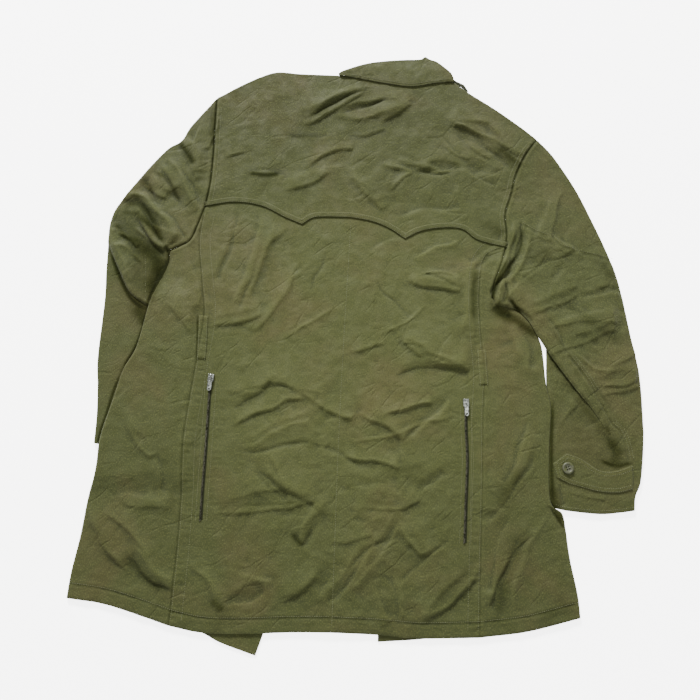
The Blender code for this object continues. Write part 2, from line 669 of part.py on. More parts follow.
def add_right_sleeve():
    """The upper arm folds over the forearm along a slant and the two are one cloth at the elbow."""
    fold = joined(spline(FOLD_RIGHT_FREE, RIGHT_ARM_ROWS - 3), spline(FOLD_RIGHT_SEWN, 3))
    outer = spline(OUTER_RIGHT, RIGHT_ARM_ROWS)
    elbow = spline(ELBOW_RIGHT, ARMHOLE_COLUMNS)
    grid = parted(patch(ARMHOLE_RIGHT, elbow, fold, outer, haste=0.5))
    rows = rolled_rows(draped(grid, upper_right_height), on_floor, SLEEVE_REACH, last=True)
    add_wall("sleeve_right_upper", rows)

    top = joined(spline(FOREARM_RIGHT_TOP, 5), spline(FOLD_RIGHT_SEWN, 3), spline(ELBOW_RIGHT, 3))
    inner = spline(FOREARM_RIGHT_INNER, FOREARM_ROWS)
    outer = spline(FOREARM_RIGHT_OUTER, FOREARM_ROWS)
    grid = parted(patch(top, spline(CUFF_RIGHT, len(top) - 1), inner, outer))
    rows = draped(grid, forearm_right_height)
    rows = rolled_rows(rows, on_floor, SLEEVE_REACH, first=True, last=True)
    add_wall("sleeve_right_forearm", rows)

    armhole = shifted(shortened(ARMHOLE_RIGHT, SLEEVE_INSET, SLEEVE_INSET), -1.5)
    outer = shifted(spline(OUTER_RIGHT + FOREARM_RIGHT_OUTER[1:], FLOOR_ROWS), -SLEEVE_INSET)
    outer = shortened(outer, 1.4 * SLEEVE_INSET, 0.1)
    inner = joined(spline(UNDER_ARM_RIGHT, 6), spline(FOREARM_RIGHT_INNER, FLOOR_ROWS))
    inner = shifted(inner, SLEEVE_INSET)[::-1]
    add_slab("sleeve_right_front", [armhole + outer + inner], 0.0, WALL, OLIVE)


def add_collar():
    """The turned-down collar: its fall over the yoke and its stand flat beneath."""
    columns = COLLAR_COLUMNS
    left = [Vector(COLLAR_FALL[0]).lerp(Vector(COLLAR_FOLD[0]), step / 3) for step in range(4)]
    right = [Vector(COLLAR_FALL[-1]).lerp(Vector(COLLAR_FOLD[-1]), step / 3) for step in range(4)]
    grid = patch(spline(COLLAR_FALL, columns), spline(COLLAR_FOLD, columns), left, right)
    add_wall("collar_fall", draped(grid, collar_height))
    outline = spline(STAND_TOP, 16) + spline(STAND_BASE, 16)
    add_slab("collar_stand", [outline], 0.0, WALL, DARK_OLIVE)


def add_trims():
    """The band on the yoke's edge, the strips on the seams and the cuff's tab and button."""
    above_seam = shifted(YOKE_LINE, BAND_WIDTH - BAND_DROP)
    below_seam = shifted(YOKE_LINE, -BAND_DROP)
    rows = [[low, high] for low, high in zip(below_seam, above_seam)]
    overlay("yoke_band", rows, OLIVE, TRIM, lowest=BACK_TOP)
    for side, line in (("left", STRIP_LEFT), ("right", STRIP_RIGHT)):
        overlay("seam_strip_" + side, ribbon(spline(line, 8), STRIP_WIDTH, 3), OLIVE, TRIM, lowest=BACK_TOP)
    grid = patch(spline(TAB_BASE, 8), spline(TAB_TOP, 8), spline(TAB_TIP, 4), spline(TAB_SEAM, 4))
    overlay("cuff_tab", grid, OLIVE, WALL, lowest=BACK_TOP)
    add_button()


def add_button():
    """A turned button with a raised rim, sewn on the cuff's tab."""
    x, y = BUTTON_PLACE
    base = seat(Vector(BUTTON_PLACE)) + GAP
    bm = bmesh.new()
    corners = [bm.verts.new(Vector((radius, 0.0, height)) * MM) for radius, height in BUTTON_PROFILE]
    for start, end in zip(corners, corners[1:]):
        bm.edges.new((start, end))
    mesh = bpy.data.meshes.new("cuff_button")
    bm.to_mesh(mesh)
    bm.free()
    button = add_object("cuff_button", mesh, BUTTON_GREEN, 0.4, smooth_faces=False)
    button.location = Vector((x, y, base)) * MM
    turn = button.modifiers.new("turned", "SCREW")
    turn.steps = turn.render_steps = 24
    turn.use_merge_vertices = True
    turn.merge_threshold = 0.00005


def add_box(name, size, centre, collection):
    bm = bmesh.new()
    bmesh.ops.create_cube(bm, size=1.0)
    bmesh.ops.scale(bm, vec=Vector(size) * MM, verts=bm.verts)
    bmesh.ops.translate(bm, vec=Vector(centre) * MM, verts=bm.verts)
    mesh = bpy.data.meshes.new(name)
    bm.to_mesh(mesh)
    bm.free()
    box = bpy.data.objects.new(name, mesh)
    collection.objects.link(box)
    return box


def boolean(target, tool, operation):
    tool.hide_render = True
    tool.display_type = "WIRE"
    tool.parent = target
    change = target.modifiers.new(tool.name, "BOOLEAN")
    change.operation = operation
    change.solver = "EXACT"
    change.object = tool


def add_zip(side, line, x, y, turn):
    """A row of teeth on its tape, the slider at its top and the pull that swings on the slider."""
    overlay("zip_chain_" + side, ribbon(spline(line, 16), CHAIN_WIDTH), ZIP_DARK, TRIM, lowest=BACK_TOP)
    across, along, tall = SLIDER_SIZE
    width, length, height = BRIDGE_SIZE
    mouth_along, mouth_tall = BRIDGE_MOUTH
    base = highest_near(Vector((x, y)), 5.0) + GAP
    name = "zip_slider_" + side
    slider = add_box(name, SLIDER_SIZE, (0.0, 0.0, tall / 2.0), PARKA)
    slider.data.materials.append(material(name + "_finish", SILVER, 0.3, 1.0))
    slider.location = Vector((x, y, base)) * MM
    slider.rotation_euler.z = math.radians(turn)
    bridge = add_box("bridge_" + side, (width, length, height + 1.0), (0.0, 0.0, tall + height / 2 - 0.5), TOOLS)
    mouth_middle = tall + MOUTH_SILL + mouth_tall / 2.0
    mouth = add_box("mouth_" + side, (2 * width, mouth_along, mouth_tall), (0.0, 0.0, mouth_middle), TOOLS)
    boolean(slider, bridge, "UNION")
    boolean(slider, mouth, "DIFFERENCE")

    hinge = bpy.data.objects.new("hinge_" + side, None)
    PARKA.objects.link(hinge)
    hinge.location = Vector((x, y, base + mouth_middle)) * MM
    hinge.rotation_euler.z = math.radians(turn)
    radius = PULL_WIDTH / 2.0
    tip = -(PULL_LENGTH - PULL_BAR / 2.0 - radius)
    edge = [Vector((-radius, PULL_BAR / 2.0))] + arc((0.0, tip), radius, 180.0, 360.0, 10)
    edge.append(Vector((radius, PULL_BAR / 2.0)))
    eye_wide, eye_long = PULL_EYE
    eye_top = -PULL_BAR / 2.0
    eye = [Vector((sign * eye_wide / 2.0, level)) for sign, level in
           ((-1, eye_top), (1, eye_top), (1, eye_top - eye_long), (-1, eye_top - eye_long))]
    hole = arc((0.0, tip), PULL_HOLE, 0.0, 330.0, 11)
    pull = add_slab("zip_pull_" + side, [edge, eye, hole], -PULL_THICKNESS / 2, PULL_THICKNESS, SILVER, 0.3, 1.0)
    pull.parent = hinge
    pull.rotation_euler.x = math.radians(PULL_TILT)


def clear_scene():
    for item in list(bpy.data.objects):
        bpy.data.objects.remove(item, do_unlink=True)


YOKE_LEFT = joined(spline(YOKE_EDGE_1, BACK_COLUMNS - 4), spline(YOKE_EDGE_2, 4))
YOKE_RIGHT = joined(spline(YOKE_EDGE_3, 5), spline(YOKE_EDGE_4, BACK_COLUMNS - 5))
YOKE_LINE = joined(YOKE_LEFT, YOKE_RIGHT)
NECK_LINE = spline(SHOULDER, 2 * BACK_COLUMNS)
ARMHOLE_LEFT = joined(spline(ARMHOLE_LEFT_LOWER, SIDE_COLUMNS)[::-1], spline(ARMHOLE_LEFT_UPPER, YOKE_ROWS))
ARMHOLE_RIGHT = joined(spline(ARMHOLE_RIGHT_LOWER, LOWER_COLUMNS)[::-1], spline(ARMHOLE_RIGHT_UPPER, YOKE_ROWS))
FOLD_LEFT_LINE = joined(spline(ELBOW_LEFT, 1), spline(FOLD_LEFT, YOKE_ROWS - 1))
FOLD_RIGHT_LINE = spaced(joined(spline(FOLD_RIGHT_FREE, RIGHT_ARM_ROWS - 3), spline(FOLD_RIGHT_SEWN, 3)), 24)
CALM_LINES = (
    # line, half width with no fold at all, width over which folds come back
    (YOKE_LINE, 5.0, 24.0),
    (NECK_LINE[8:22], 6.0, 30.0),
    (spline(ZIP_LEFT, 4), 20.0, 22.0),
    (spline(ZIP_RIGHT, 4), 20.0, 22.0),
    (spline(STRIP_LEFT, 2), 20.0, 20.0),
    (spline(STRIP_RIGHT, 2), 20.0, 20.0),
    (spline(((290, -212), (395, -224)), 2), 24.0, 20.0),
)
SURFACES = []

clear_scene()
PARKA = bpy.data.collections.new("field_parka")
TOOLS = bpy.data.collections.new("cutters")
bpy.context.scene.collection.children.link(PARKA)
bpy.context.scene.collection.children.link(TOOLS)
add_body()
add_fronts()
add_left_sleeve()
add_right_sleeve()
add_collar()
add_trims()
for side_name, hinge_x, hinge_y, hinge_turn in SLIDERS:
    add_zip(side_name, ZIP_LEFT if side_name == "left" else ZIP_RIGHT, hinge_x, hinge_y, hinge_turn)
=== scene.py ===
"""A lined field parka laid on its open fronts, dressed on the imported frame.

Plan positions and heights are in millimetres, as in the part's own tables, and become metres where
a mesh is made. X runs across the garment, Y from the hem to the collar and Z up from the surface.
"""
import math

import bmesh
import bpy
import numpy as np
from bpy.props import FloatProperty, PointerProperty, StringProperty
from mathutils import Matrix, Vector


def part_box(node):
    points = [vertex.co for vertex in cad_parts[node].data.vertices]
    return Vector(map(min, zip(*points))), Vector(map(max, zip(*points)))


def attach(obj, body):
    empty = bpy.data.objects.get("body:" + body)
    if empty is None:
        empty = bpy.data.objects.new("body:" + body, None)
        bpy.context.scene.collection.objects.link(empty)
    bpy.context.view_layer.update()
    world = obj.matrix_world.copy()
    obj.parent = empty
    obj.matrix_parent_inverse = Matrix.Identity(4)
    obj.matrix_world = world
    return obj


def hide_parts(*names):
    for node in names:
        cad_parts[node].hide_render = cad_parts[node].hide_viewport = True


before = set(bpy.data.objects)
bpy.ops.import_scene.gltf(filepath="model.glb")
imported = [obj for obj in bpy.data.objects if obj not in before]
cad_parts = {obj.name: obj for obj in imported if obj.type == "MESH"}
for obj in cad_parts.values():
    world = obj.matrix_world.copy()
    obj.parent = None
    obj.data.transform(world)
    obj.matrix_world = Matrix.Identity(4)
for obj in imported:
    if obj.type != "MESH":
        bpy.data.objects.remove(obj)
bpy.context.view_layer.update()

bl_info = {
    "name": "Field parka laid flat",
    "version": (1, 0, 0),
    "blender": (4, 5, 0),
    "location": "View3D > Sidebar > Parka",
    "description": "Builds the cloth, seams, stitching and zips of a field parka lying flat",
    "category": "Object",
}

MM = 0.001
# Widths and heights in millimetres
WALL = 2.0              # a panel's solid
GAP = 0.3               # between two solids
TRIM = 1.5              # a trim's rise above the cloth that it is sewn on
TRIM_SEAT = 0.15        # a trim's underside above that cloth
BACK_TOP = 5.6          # the top of uncreased cloth
LOWEST_TOP = 3.7        # as deep as a crease reaches
FOREARM_TOP = 4.6
SLEEVE_LIFT = 5.6       # what the left forearm raises the side by
LIFT_SLOPE = 40.0
OVERLAP_RISE = 4.4
BODY_REACH = 12.0       # how far a rolled edge runs on beneath
SHOULDER_REACH = 9.0
SLEEVE_REACH = 8.0
COLLAR_REACH = 3.0
HEM_DROP = 0.8
HEM_WIDTH = 20.0
COLLAR_DROP = 0.6
BAND_WIDTH = 9.5
BAND_DROP = 1.5
STRIP_WIDTH = 14.0
CHAIN_WIDTH = 4.2
TAPE_SEAT = 0.3
TEETH_LIFT = 0.75
FRONT_INSET = 21.0
SHOULDER_INSET = 18.0
FOREARM_BOX = ((-420.0, -272.0), (-212.0, 46.0))    # where the left forearm lies, in X and in Y
STITCH_LIFT = 0.12      # a stitch's middle above its cloth
STITCH_SINK = 0.05      # and above a trim
BUTTON_PROFILE = ((0.0, 1.8), (3.9, 1.8), (4.8, 2.0), (5.7, 2.7), (6.7, 3.1), (7.7, 2.9), (8.5, 2.2), (8.8, 1.5),
                  (8.6, 0.8), (7.9, 0.2), (7.0, 0.0), (0.0, 0.0))
BUTTON_HOLE = 1.9       # each sewn hole's place from the middle
HOLE_RADIUS = 1.15
EASE = 24.0             # width over which a panel draws in towards its rolled edge
# Thicknesses in metres
COLLAR_CLOTH = 0.0014
TRIM_CLOTH = 0.0009
TAPE_CLOTH = 0.0006
TOOTH_THICKNESS = 0.0013
CLOTH_BEVEL = 0.0007
MERGE_DISTANCE = 0.00002
# Shares, counts and angles
TOOTH_SHARE = 0.42      # of the pitch that a tooth takes
TOOTH_OFFSET = 0.36     # of a tooth's width that each row lies aside
BUTTON_STEPS = 40
END_ROWS = 8.0          # rows at each end of a rolled edge that turn towards the next piece
ROLL_ANGLES = (78.0, 60.0, 40.0, 20.0, 0.0, -22.0, -45.0, -68.0, -90.0)
CREST_ROUNDING = 0.02
FOLD_SHARE = 0.95
CREASE_SHARE = 1.15
SHARP_ANGLE = 58.0      # a sheet's rim meets its faces at more than this
# The stage, in metres
FLOOR_LEVEL = -0.0002
FLOOR_HALF = 4.0
FLOOR_GLOW = 4.0
WORLD_STRENGTH = 0.90
CAMERA_PLACE = (-0.018, -0.255, 1.05)
CAMERA_TILT = 12.0
LIGHTS = (
    # name, place, size, power
    ("key", (-1.1, 4.2, 2.2), 1.0, 960.0),
    ("fill", (0.5, -0.7, 2.5), 2.2, 52.0),
)

# Seams and edges, as points (x, y) that a smooth curve runs through
ARMHOLE_LEFT_UPPER = ((-249, 202), (-243, 235), (-240, 282), (-239, 335), (-238, 393))
ARMHOLE_LEFT_LOWER = ((-249, 202), (-258, 175), (-269, 146), (-283, 136), (-304, 126))
ARMHOLE_RIGHT_UPPER = ((228, 133), (230, 156), (229, 187), (240, 221), (249, 254), (266, 289), (287, 318))
ARMHOLE_RIGHT_LOWER = ((228, 133), (217, 102), (206, 72), (202, 50))
SIDE_LEFT = ((-421.2, -393), (-417, -355), (-408, -306), (-401, -252), (-392, -214), (-388, -164),
             (-372, -105), (-361, -64), (-343, -28), (-329, 35), (-317, 71), (-303, 108), (-304, 126))
SIDE_RIGHT = ((308, -420), (306, -387), (298, -338), (295, -301), (291, -276), (275, -257),
              (278, -184), (284, -123), (278.5, -85), (276, -34), (270, -8))
HOOK_RIGHT = ((202, 50), (210, 39), (226, 36), (242, 31), (257, 15), (270, -8))
HEM_SIDE_LEFT = ((-421.2, -393), (-372, -400), (-329, -412), (-274, -430))
HEM_BACK_LEFT = ((-274, -430), (-229, -439), (-173, -441), (-102, -439), (-46, -439))
HEM_BACK_RIGHT = ((-46, -439), (17, -442), (80, -447), (164, -446))
HEM_SIDE_RIGHT = ((164, -446), (232, -438), (308, -420))
PRINCESS_LEFT = ((-274, -430), (-268, -341), (-265, -250), (-265, -170), (-259, -110), (-251, -48),
                 (-243, 21), (-249, 79), (-256, 143), (-249, 202))
PRINCESS_RIGHT = ((164, -446), (170, -341), (177, -228), (181, -140), (186, -72), (183, -9),
                  (182, 46), (187, 95), (199, 121), (228, 133))
CENTRE_BACK = ((-46, -439), (-41, -285), (-37, -170), (-32, -64), (-26, 46), (-18, 183))
YOKE_EDGE_1 = ((-249, 202), (-202, 209), (-158, 202), (-121, 183), (-94, 171))
YOKE_EDGE_2 = ((-94, 171), (-72, 183), (-18, 183))
YOKE_EDGE_3 = ((-18, 183), (17, 176), (45, 164), (69, 147))
YOKE_EDGE_4 = ((69, 147), (93, 159), (125, 165), (159, 163), (184, 145), (228, 133))
SHOULDER = ((-238, 393), (-201, 415), (-168, 432), (-138, 441), (-101, 438), (-38, 435), (0, 430),
            (60, 426), (110, 427), (136, 428), (157, 419.5), (174, 406), (221, 373), (260, 342), (287, 318))
OUTER_LEFT = ((-238, 393), (-277, 344), (-292, 317), (-315, 301), (-346, 264), (-384, 211),
              (-398, 180), (-400, 140))
ELBOW_LEFT = ((-400, 140), (-394, 126))
FOLD_LEFT = ((-394, 126), (-381, 98), (-360, 58), (-329, 35))
BESIDE_BODY_LEFT = ((-304, 126), (-302.5, 108), (-316.5, 71), (-328.5, 35))
FOREARM_LEFT_OUTER = ((-399, -174), (-398, -132), (-400, -87), (-403, -44), (-399, 46), (-400, 95), (-400, 140))
FOREARM_LEFT_TOP = ((-394, 126), (-372, 104), (-346, 68), (-331, 46), (-308, 37), (-283, 34))
FOREARM_LEFT_INNER = ((-285, -190), (-280, -79), (-283, 34))
CUFF_LEFT = ((-399, -174), (-342, -184), (-285, -190))
OUTER_RIGHT = ((287, 318), (311, 289), (343, 233), (364, 183), (385, 128), (401, 72), (412, -6),
               (421, -79), (420, -158))
FOLD_RIGHT_FREE = ((202, 50), (209, 37), (225, 34), (241, 29), (256, 13), (268, -10), (289, -46), (326, -100),
                   (340, -117))
FOLD_RIGHT_SEWN = ((340, -117), (354, -138), (367, -162))
ELBOW_RIGHT = ((367, -162), (420, -158))
FOREARM_RIGHT_TOP = ((282, -30), (312, -50), (337, -92), (340, -117))
FOREARM_RIGHT_INNER = ((282, -30), (279, -88), (283, -125), (276.6, -192), (273.6, -250), (279, -268))
FOREARM_RIGHT_OUTER = ((420, -158), (415, -199), (409, -232), (400, -252), (397, -272))
CUFF_RIGHT = ((279, -268), (300, -272.5), (345, -277), (375, -275), (397, -272))
FRONT_LEFT_EDGE = ((-151, -470), (-140, -440), (-104, -341), (-48, -110), (-2, 128), (23, 386))
FRONT_LEFT_HEM = ((-396, -393), (-329, -409), (-274, -427), (-229, -439), (-200, -453), (-151, -470))
FRONT_LEFT_TOP = ((-239, 374), (-201, 396), (-138, 422), (-38, 414), (23, 386))
COLLAR_FOLD = ((-37, 438), (-26, 444), (15, 458), (66, 464), (99, 465), (108, 470), (116, 465),
               (128, 460), (141, 448), (150, 439), (154, 430))
COLLAR_FALL = ((-35, 434), (15, 424), (40, 419), (82, 413), (123, 419), (154, 422))
TAB_TOP = ((302, -189), (323, -197), (350, -214), (375, -214), (398, -206))
TAB_BASE = ((285, -225), (302, -234), (343, -245), (374, -247), (396, -242))
TAB_TIP = ((285, -225), (281, -204), (302, -189))
TAB_SEAM = ((396, -242), (399, -224), (398, -206))
STRIP_LEFT = ((-243, 21), (-243, -12), (-244, -48))
STRIP_RIGHT = ((182, -33), (183, -60), (184, -87))
ZIP_LEFT = ((-228.5, -82.2), (-229, -110), (-231, -184), (-233, -242), (-234, -285))
ZIP_RIGHT = ((156, -120), (155.5, -155), (156, -199), (152, -257), (148, -317))
# Seams of the sleeves that show
SLEEVE_SEAM_UPPER = ((250, 172), (286, 151), (301, 148), (313, 133), (336, 125), (375, 115), (399, 108))
SLEEVE_SEAM_LOWER = ((314, -44), (331, -67), (347, -95), (361, -122), (373, -146), (384, -158), (390, -177),
                     (393, -199))
SLEEVE_SEAM_LEFT = ((-340, 125), (-337, 87), (-334, 46))

# The largest folds: a soft ridge (height above zero) or trough (below) along a straight run
FOLDS = (
    # x0, y0, x1, y1, half width, height
    (-93, 352, 7, 410, 17, 5.0), (-93, 330, 10, 366, 16, -1.4), (-34, 352, 56, 372, 15, 4.2),
    (-121, 240, -40, 266, 16, 2.6), (-18, 268, 25, 212, 17, 3.2), (40, 246, 90, 272, 17, -2.2),
    (96, 276, 160, 276, 16, 3.4), (160, 276, 214, 250, 15, 2.8), (142, 358, 203, 345, 16, 4.2),
    (203, 345, 262, 290, 16, 4.6), (150, 330, 196, 318, 15, -1.8), (175, 300, 214, 268, 15, 2.4),
    (36, 360, 81, 390, 15, 2.6), (-205, 190, -230, 88, 15, 2.2), (-130, 178, -185, 60, 17, 2.4),
    (-80, 112, -150, 4, 16, 2.2), (-230, 16, -160, 30, 16, 2.6), (-188, -108, -139, -72, 15, 2.8),
    (-139, -70, -60, -100, 16, 2.4), (-175, -166, -78, -124, 16, 2.2), (-146, -196, -94, -250, 16, 4.0),
    (-205, -256, -80, -246, 16, 3.2), (-96, -300, -60, -262, 15, 3.4), (-226, -350, -196, -404, 17, 3.6),
    (-190, -388, -143, -372, 15, 2.6), (-120, -394, -67, -350, 17, 3.8), (64, 84, 150, 70, 17, 2.6),
    (163, 100, 158, 6, 15, 4.4), (60, -10, 152, -52, 16, 4.2), (50, -56, 140, -60, 15, 2.2),
    (0, -116, 62, -156, 16, 2.6), (60, -164, 130, -104, 15, -2.0), (80, -240, 120, -208, 15, 2.4),
    (52, -276, -2, -362, 17, 3.6), (66, -290, 90, -334, 15, 2.8), (10, -312, -52, -386, 16, 2.6),
    (150, -352, 86, -414, 17, 4.0), (250, -176, 196, -268, 17, 3.8), (236, -132, 214, -214, 15, -2.0),
    (238, -290, 184, -386, 17, 4.2), (232, -2, 250, -64, 15, 2.6), (-290, 50, -262, 10, 15, 2.6),
    (-352, -132, -312, -184, 16, 2.4), (-350, -250, -290, -254, 16, 2.8), (-398, -276, -346, -340, 17, 3.6),
    (-360, -272, -314, -324, 15, 2.6), (-322, -330, -276, -370, 16, 2.6), (-285, 322, -258, 262, 15, 3.4),
    (-323, 268, -297, 234, 14, 3.2), (-342, 252, -300, 224, 14, 3.2), (-350, 212, -296, 150, 16, 4.6),
    (-372, 184, -330, 140, 14, -2.2), (-282, 262, -250, 212, 14, 2.4), (230, 58, 306, 124, 15, 3.4),
    (262, 40, 331, 68, 15, 3.6), (292, 12, 380, 24, 16, 4.0), (322, -12, 384, 12, 15, 3.6),
    (330, 60, 396, 72, 15, 2.8), (360, -74, 416, -66, 15, 3.2), (300, 210, 284, 150, 15, 2.6),
    (312, -120, 326, -104, 14, 1.8), (258, 176, 214, 74, 13, 4.8),
)

# Smaller creases read from the photograph, each a ridge (height above zero) or trough (below)
CREASES = (
    # x0, y0, x1, y1, half width, height
    (-295, 312, -264, 247, 4.8, 2.2), (-333, 261, -307, 226, 4.9, 2.6), (-352, 242, -309, 216, 5.7, 3.0),
    (-292, 261, -257, 199, 5.1, 3.5), (-357, 192, -313, 133, 6.5, 2.5), (-357, 161, -314, 130, 5.9, 2.9),
    (-385, 156, -355, 135, 4.1, 3.3), (-368, 212, -293, 151, 6.7, 2.3), (-242, 375, -244, 299, 6.1, 2.8),
    (-268, 335, -265, 261, 5.5, 3.2), (-300, 42, -260, -9, 5.7, 1.5), (-269, 108, -253, 38, 7.5, 1.8),
    (-349, -147, -311, -196, 6.7, 2.1), (-300, -196, -296, -245, 4.6, -1.9), (-353, -261, -283, -267, 7.7, 1.7),
    (-395, -287, -333, -357, 7.0, 2.0), (-370, -274, -309, -337, 6.2, 2.3), (-329, -341, -267, -385, 8.0, 1.6),
    (-194, 202, -218, 79, 6.1, -1.7), (-158, 192, -195, 46, 5.5, 2.4), (-113, 175, -173, 53, 4.8, 1.7),
    (-96, 108, -162, -1, 6.3, 2.0), (-233, 2, -160, 18, 5.7, 2.3), (-188, -119, -139, -84, 5.1, -2.1),
    (-139, -84, -75, -110, 6.5, 1.9), (-75, -110, -18, -138, 5.9, 2.2), (-188, -146, -93, -107, 5.3, 2.5),
    (-175, -178, -78, -137, 6.7, 1.8), (-162, -214, -103, -257, 6.1, -1.7), (-139, -192, -106, -257, 5.5, 2.4),
    (-219, -271, -73, -260, 4.8, 1.7), (-96, -322, -70, -265, 6.3, 2.0), (-242, -346, -206, -405, 5.7, 2.3),
    (-199, -402, -143, -385, 5.1, -2.1), (-111, -405, -67, -366, 6.5, 1.9), (-175, -361, -132, -368, 4.6, 2.2),
    (-93, 346, 7, 404, 5.3, 2.6), (-34, 371, 56, 387, 6.7, 1.8), (-116, 328, -57, 324, 6.1, -1.7),
    (-179, 261, -129, 254, 5.5, 2.5), (-219, 287, -189, 296, 3.7, 1.7), (-121, 228, -57, 254, 6.3, 2.1),
    (-89, 273, -18, 303, 5.7, 2.4), (-18, 324, 38, 333, 5.1, -2.2), (-18, 254, 33, 195, 6.5, 2.0),
    (40, 230, 82, 257, 4.6, 2.3), (39, 273, 108, 264, 5.3, 2.6), (108, 257, 163, 262, 6.7, 1.8),
    (163, 262, 215, 236, 6.1, -1.7), (127, 322, 167, 280, 5.5, 2.5), (142, 342, 203, 328, 4.8, 1.7),
    (203, 328, 260, 273, 6.3, 2.1), (36, 349, 81, 378, 5.7, 2.4), (54, 187, 157, 199, 5.1, -2.2),
    (169, 317, 209, 285, 6.5, 2.0), (84, 92, 149, 84, 5.9, 2.4), (74, 77, 153, 58, 5.3, 2.8),
    (177, 120, 172, -9, 6.7, 1.9), (17, 128, 67, 148, 6.1, -1.8), (84, 120, 148, 145, 5.5, 2.6),
    (-18, -39, 35, -25, 4.8, 1.8), (77, -20, 158, -64, 6.3, 2.2), (62, -17, 86, -44, 4.4, 2.5),
    (50, -67, 158, -69, 5.1, -2.3), (104, -48, 152, -61, 5.0, 2.0), (0, -128, 59, -167, 5.9, 2.4),
    (30, -134, 102, -117, 5.3, 2.8), (56, -173, 129, -113, 6.7, 1.9), (80, -252, 120, -221, 6.1, -1.8),
    (-24, -196, 48, -208, 5.5, 2.6), (-3, -271, 84, -260, 4.8, 1.8), (52, -287, -12, -375, 6.3, 2.2),
    (55, -288, 80, -334, 5.7, 2.5), (19, -320, -46, -395, 5.1, -2.3), (49, -359, 55, -422, 6.5, 2.0),
    (20, -382, 36, -425, 4.6, 2.4), (165, -352, 95, -420, 5.3, 2.8), (-40, -313, 14, -310, 6.7, 1.9),
    (219, 145, 170, 108, 6.7, -2.3), (250, 170, 203, 62, 6.0, -2.6), (232, 158, 195, 108, 5.3, -1.8),
    (256, -192, 182, -285, 6.9, -2.2), (247, -140, 210, -228, 6.2, -2.5), (249, -303, 180, -406, 5.5, -2.9),
    (243, -1, 259, -56, 7.1, -2.0), (207, -285, 184, -382, 6.4, -2.4), (288, 111, 336, 125, 7.1, 2.4),
    (222, 46, 309, 115, 9.2, 1.7), (260, 27, 331, 54, 8.3, 2.0), (292, -1, 385, 11, 7.5, 2.3),
    (287, -41, 384, -1, 6.6, 1.6), (331, 46, 398, 59, 8.6, 1.9), (373, -64, 418, -42, 7.7, 2.2),
    (360, -87, 421, -79, 6.9, 2.5), (364, -104, 420, -91, 8.9, 1.8), (290, 153, 344, 121, 8.0, 2.1),
    (322, 221, 295, 145, 7.1, 2.4), (295, -147, 319, -122, 4.3, 1.2), (330, -149, 356, -138, 3.9, -1.1),
    (351, -196, 383, -202, 3.5, 1.7), (293, -248, 351, -257, 4.0, 1.1),
)

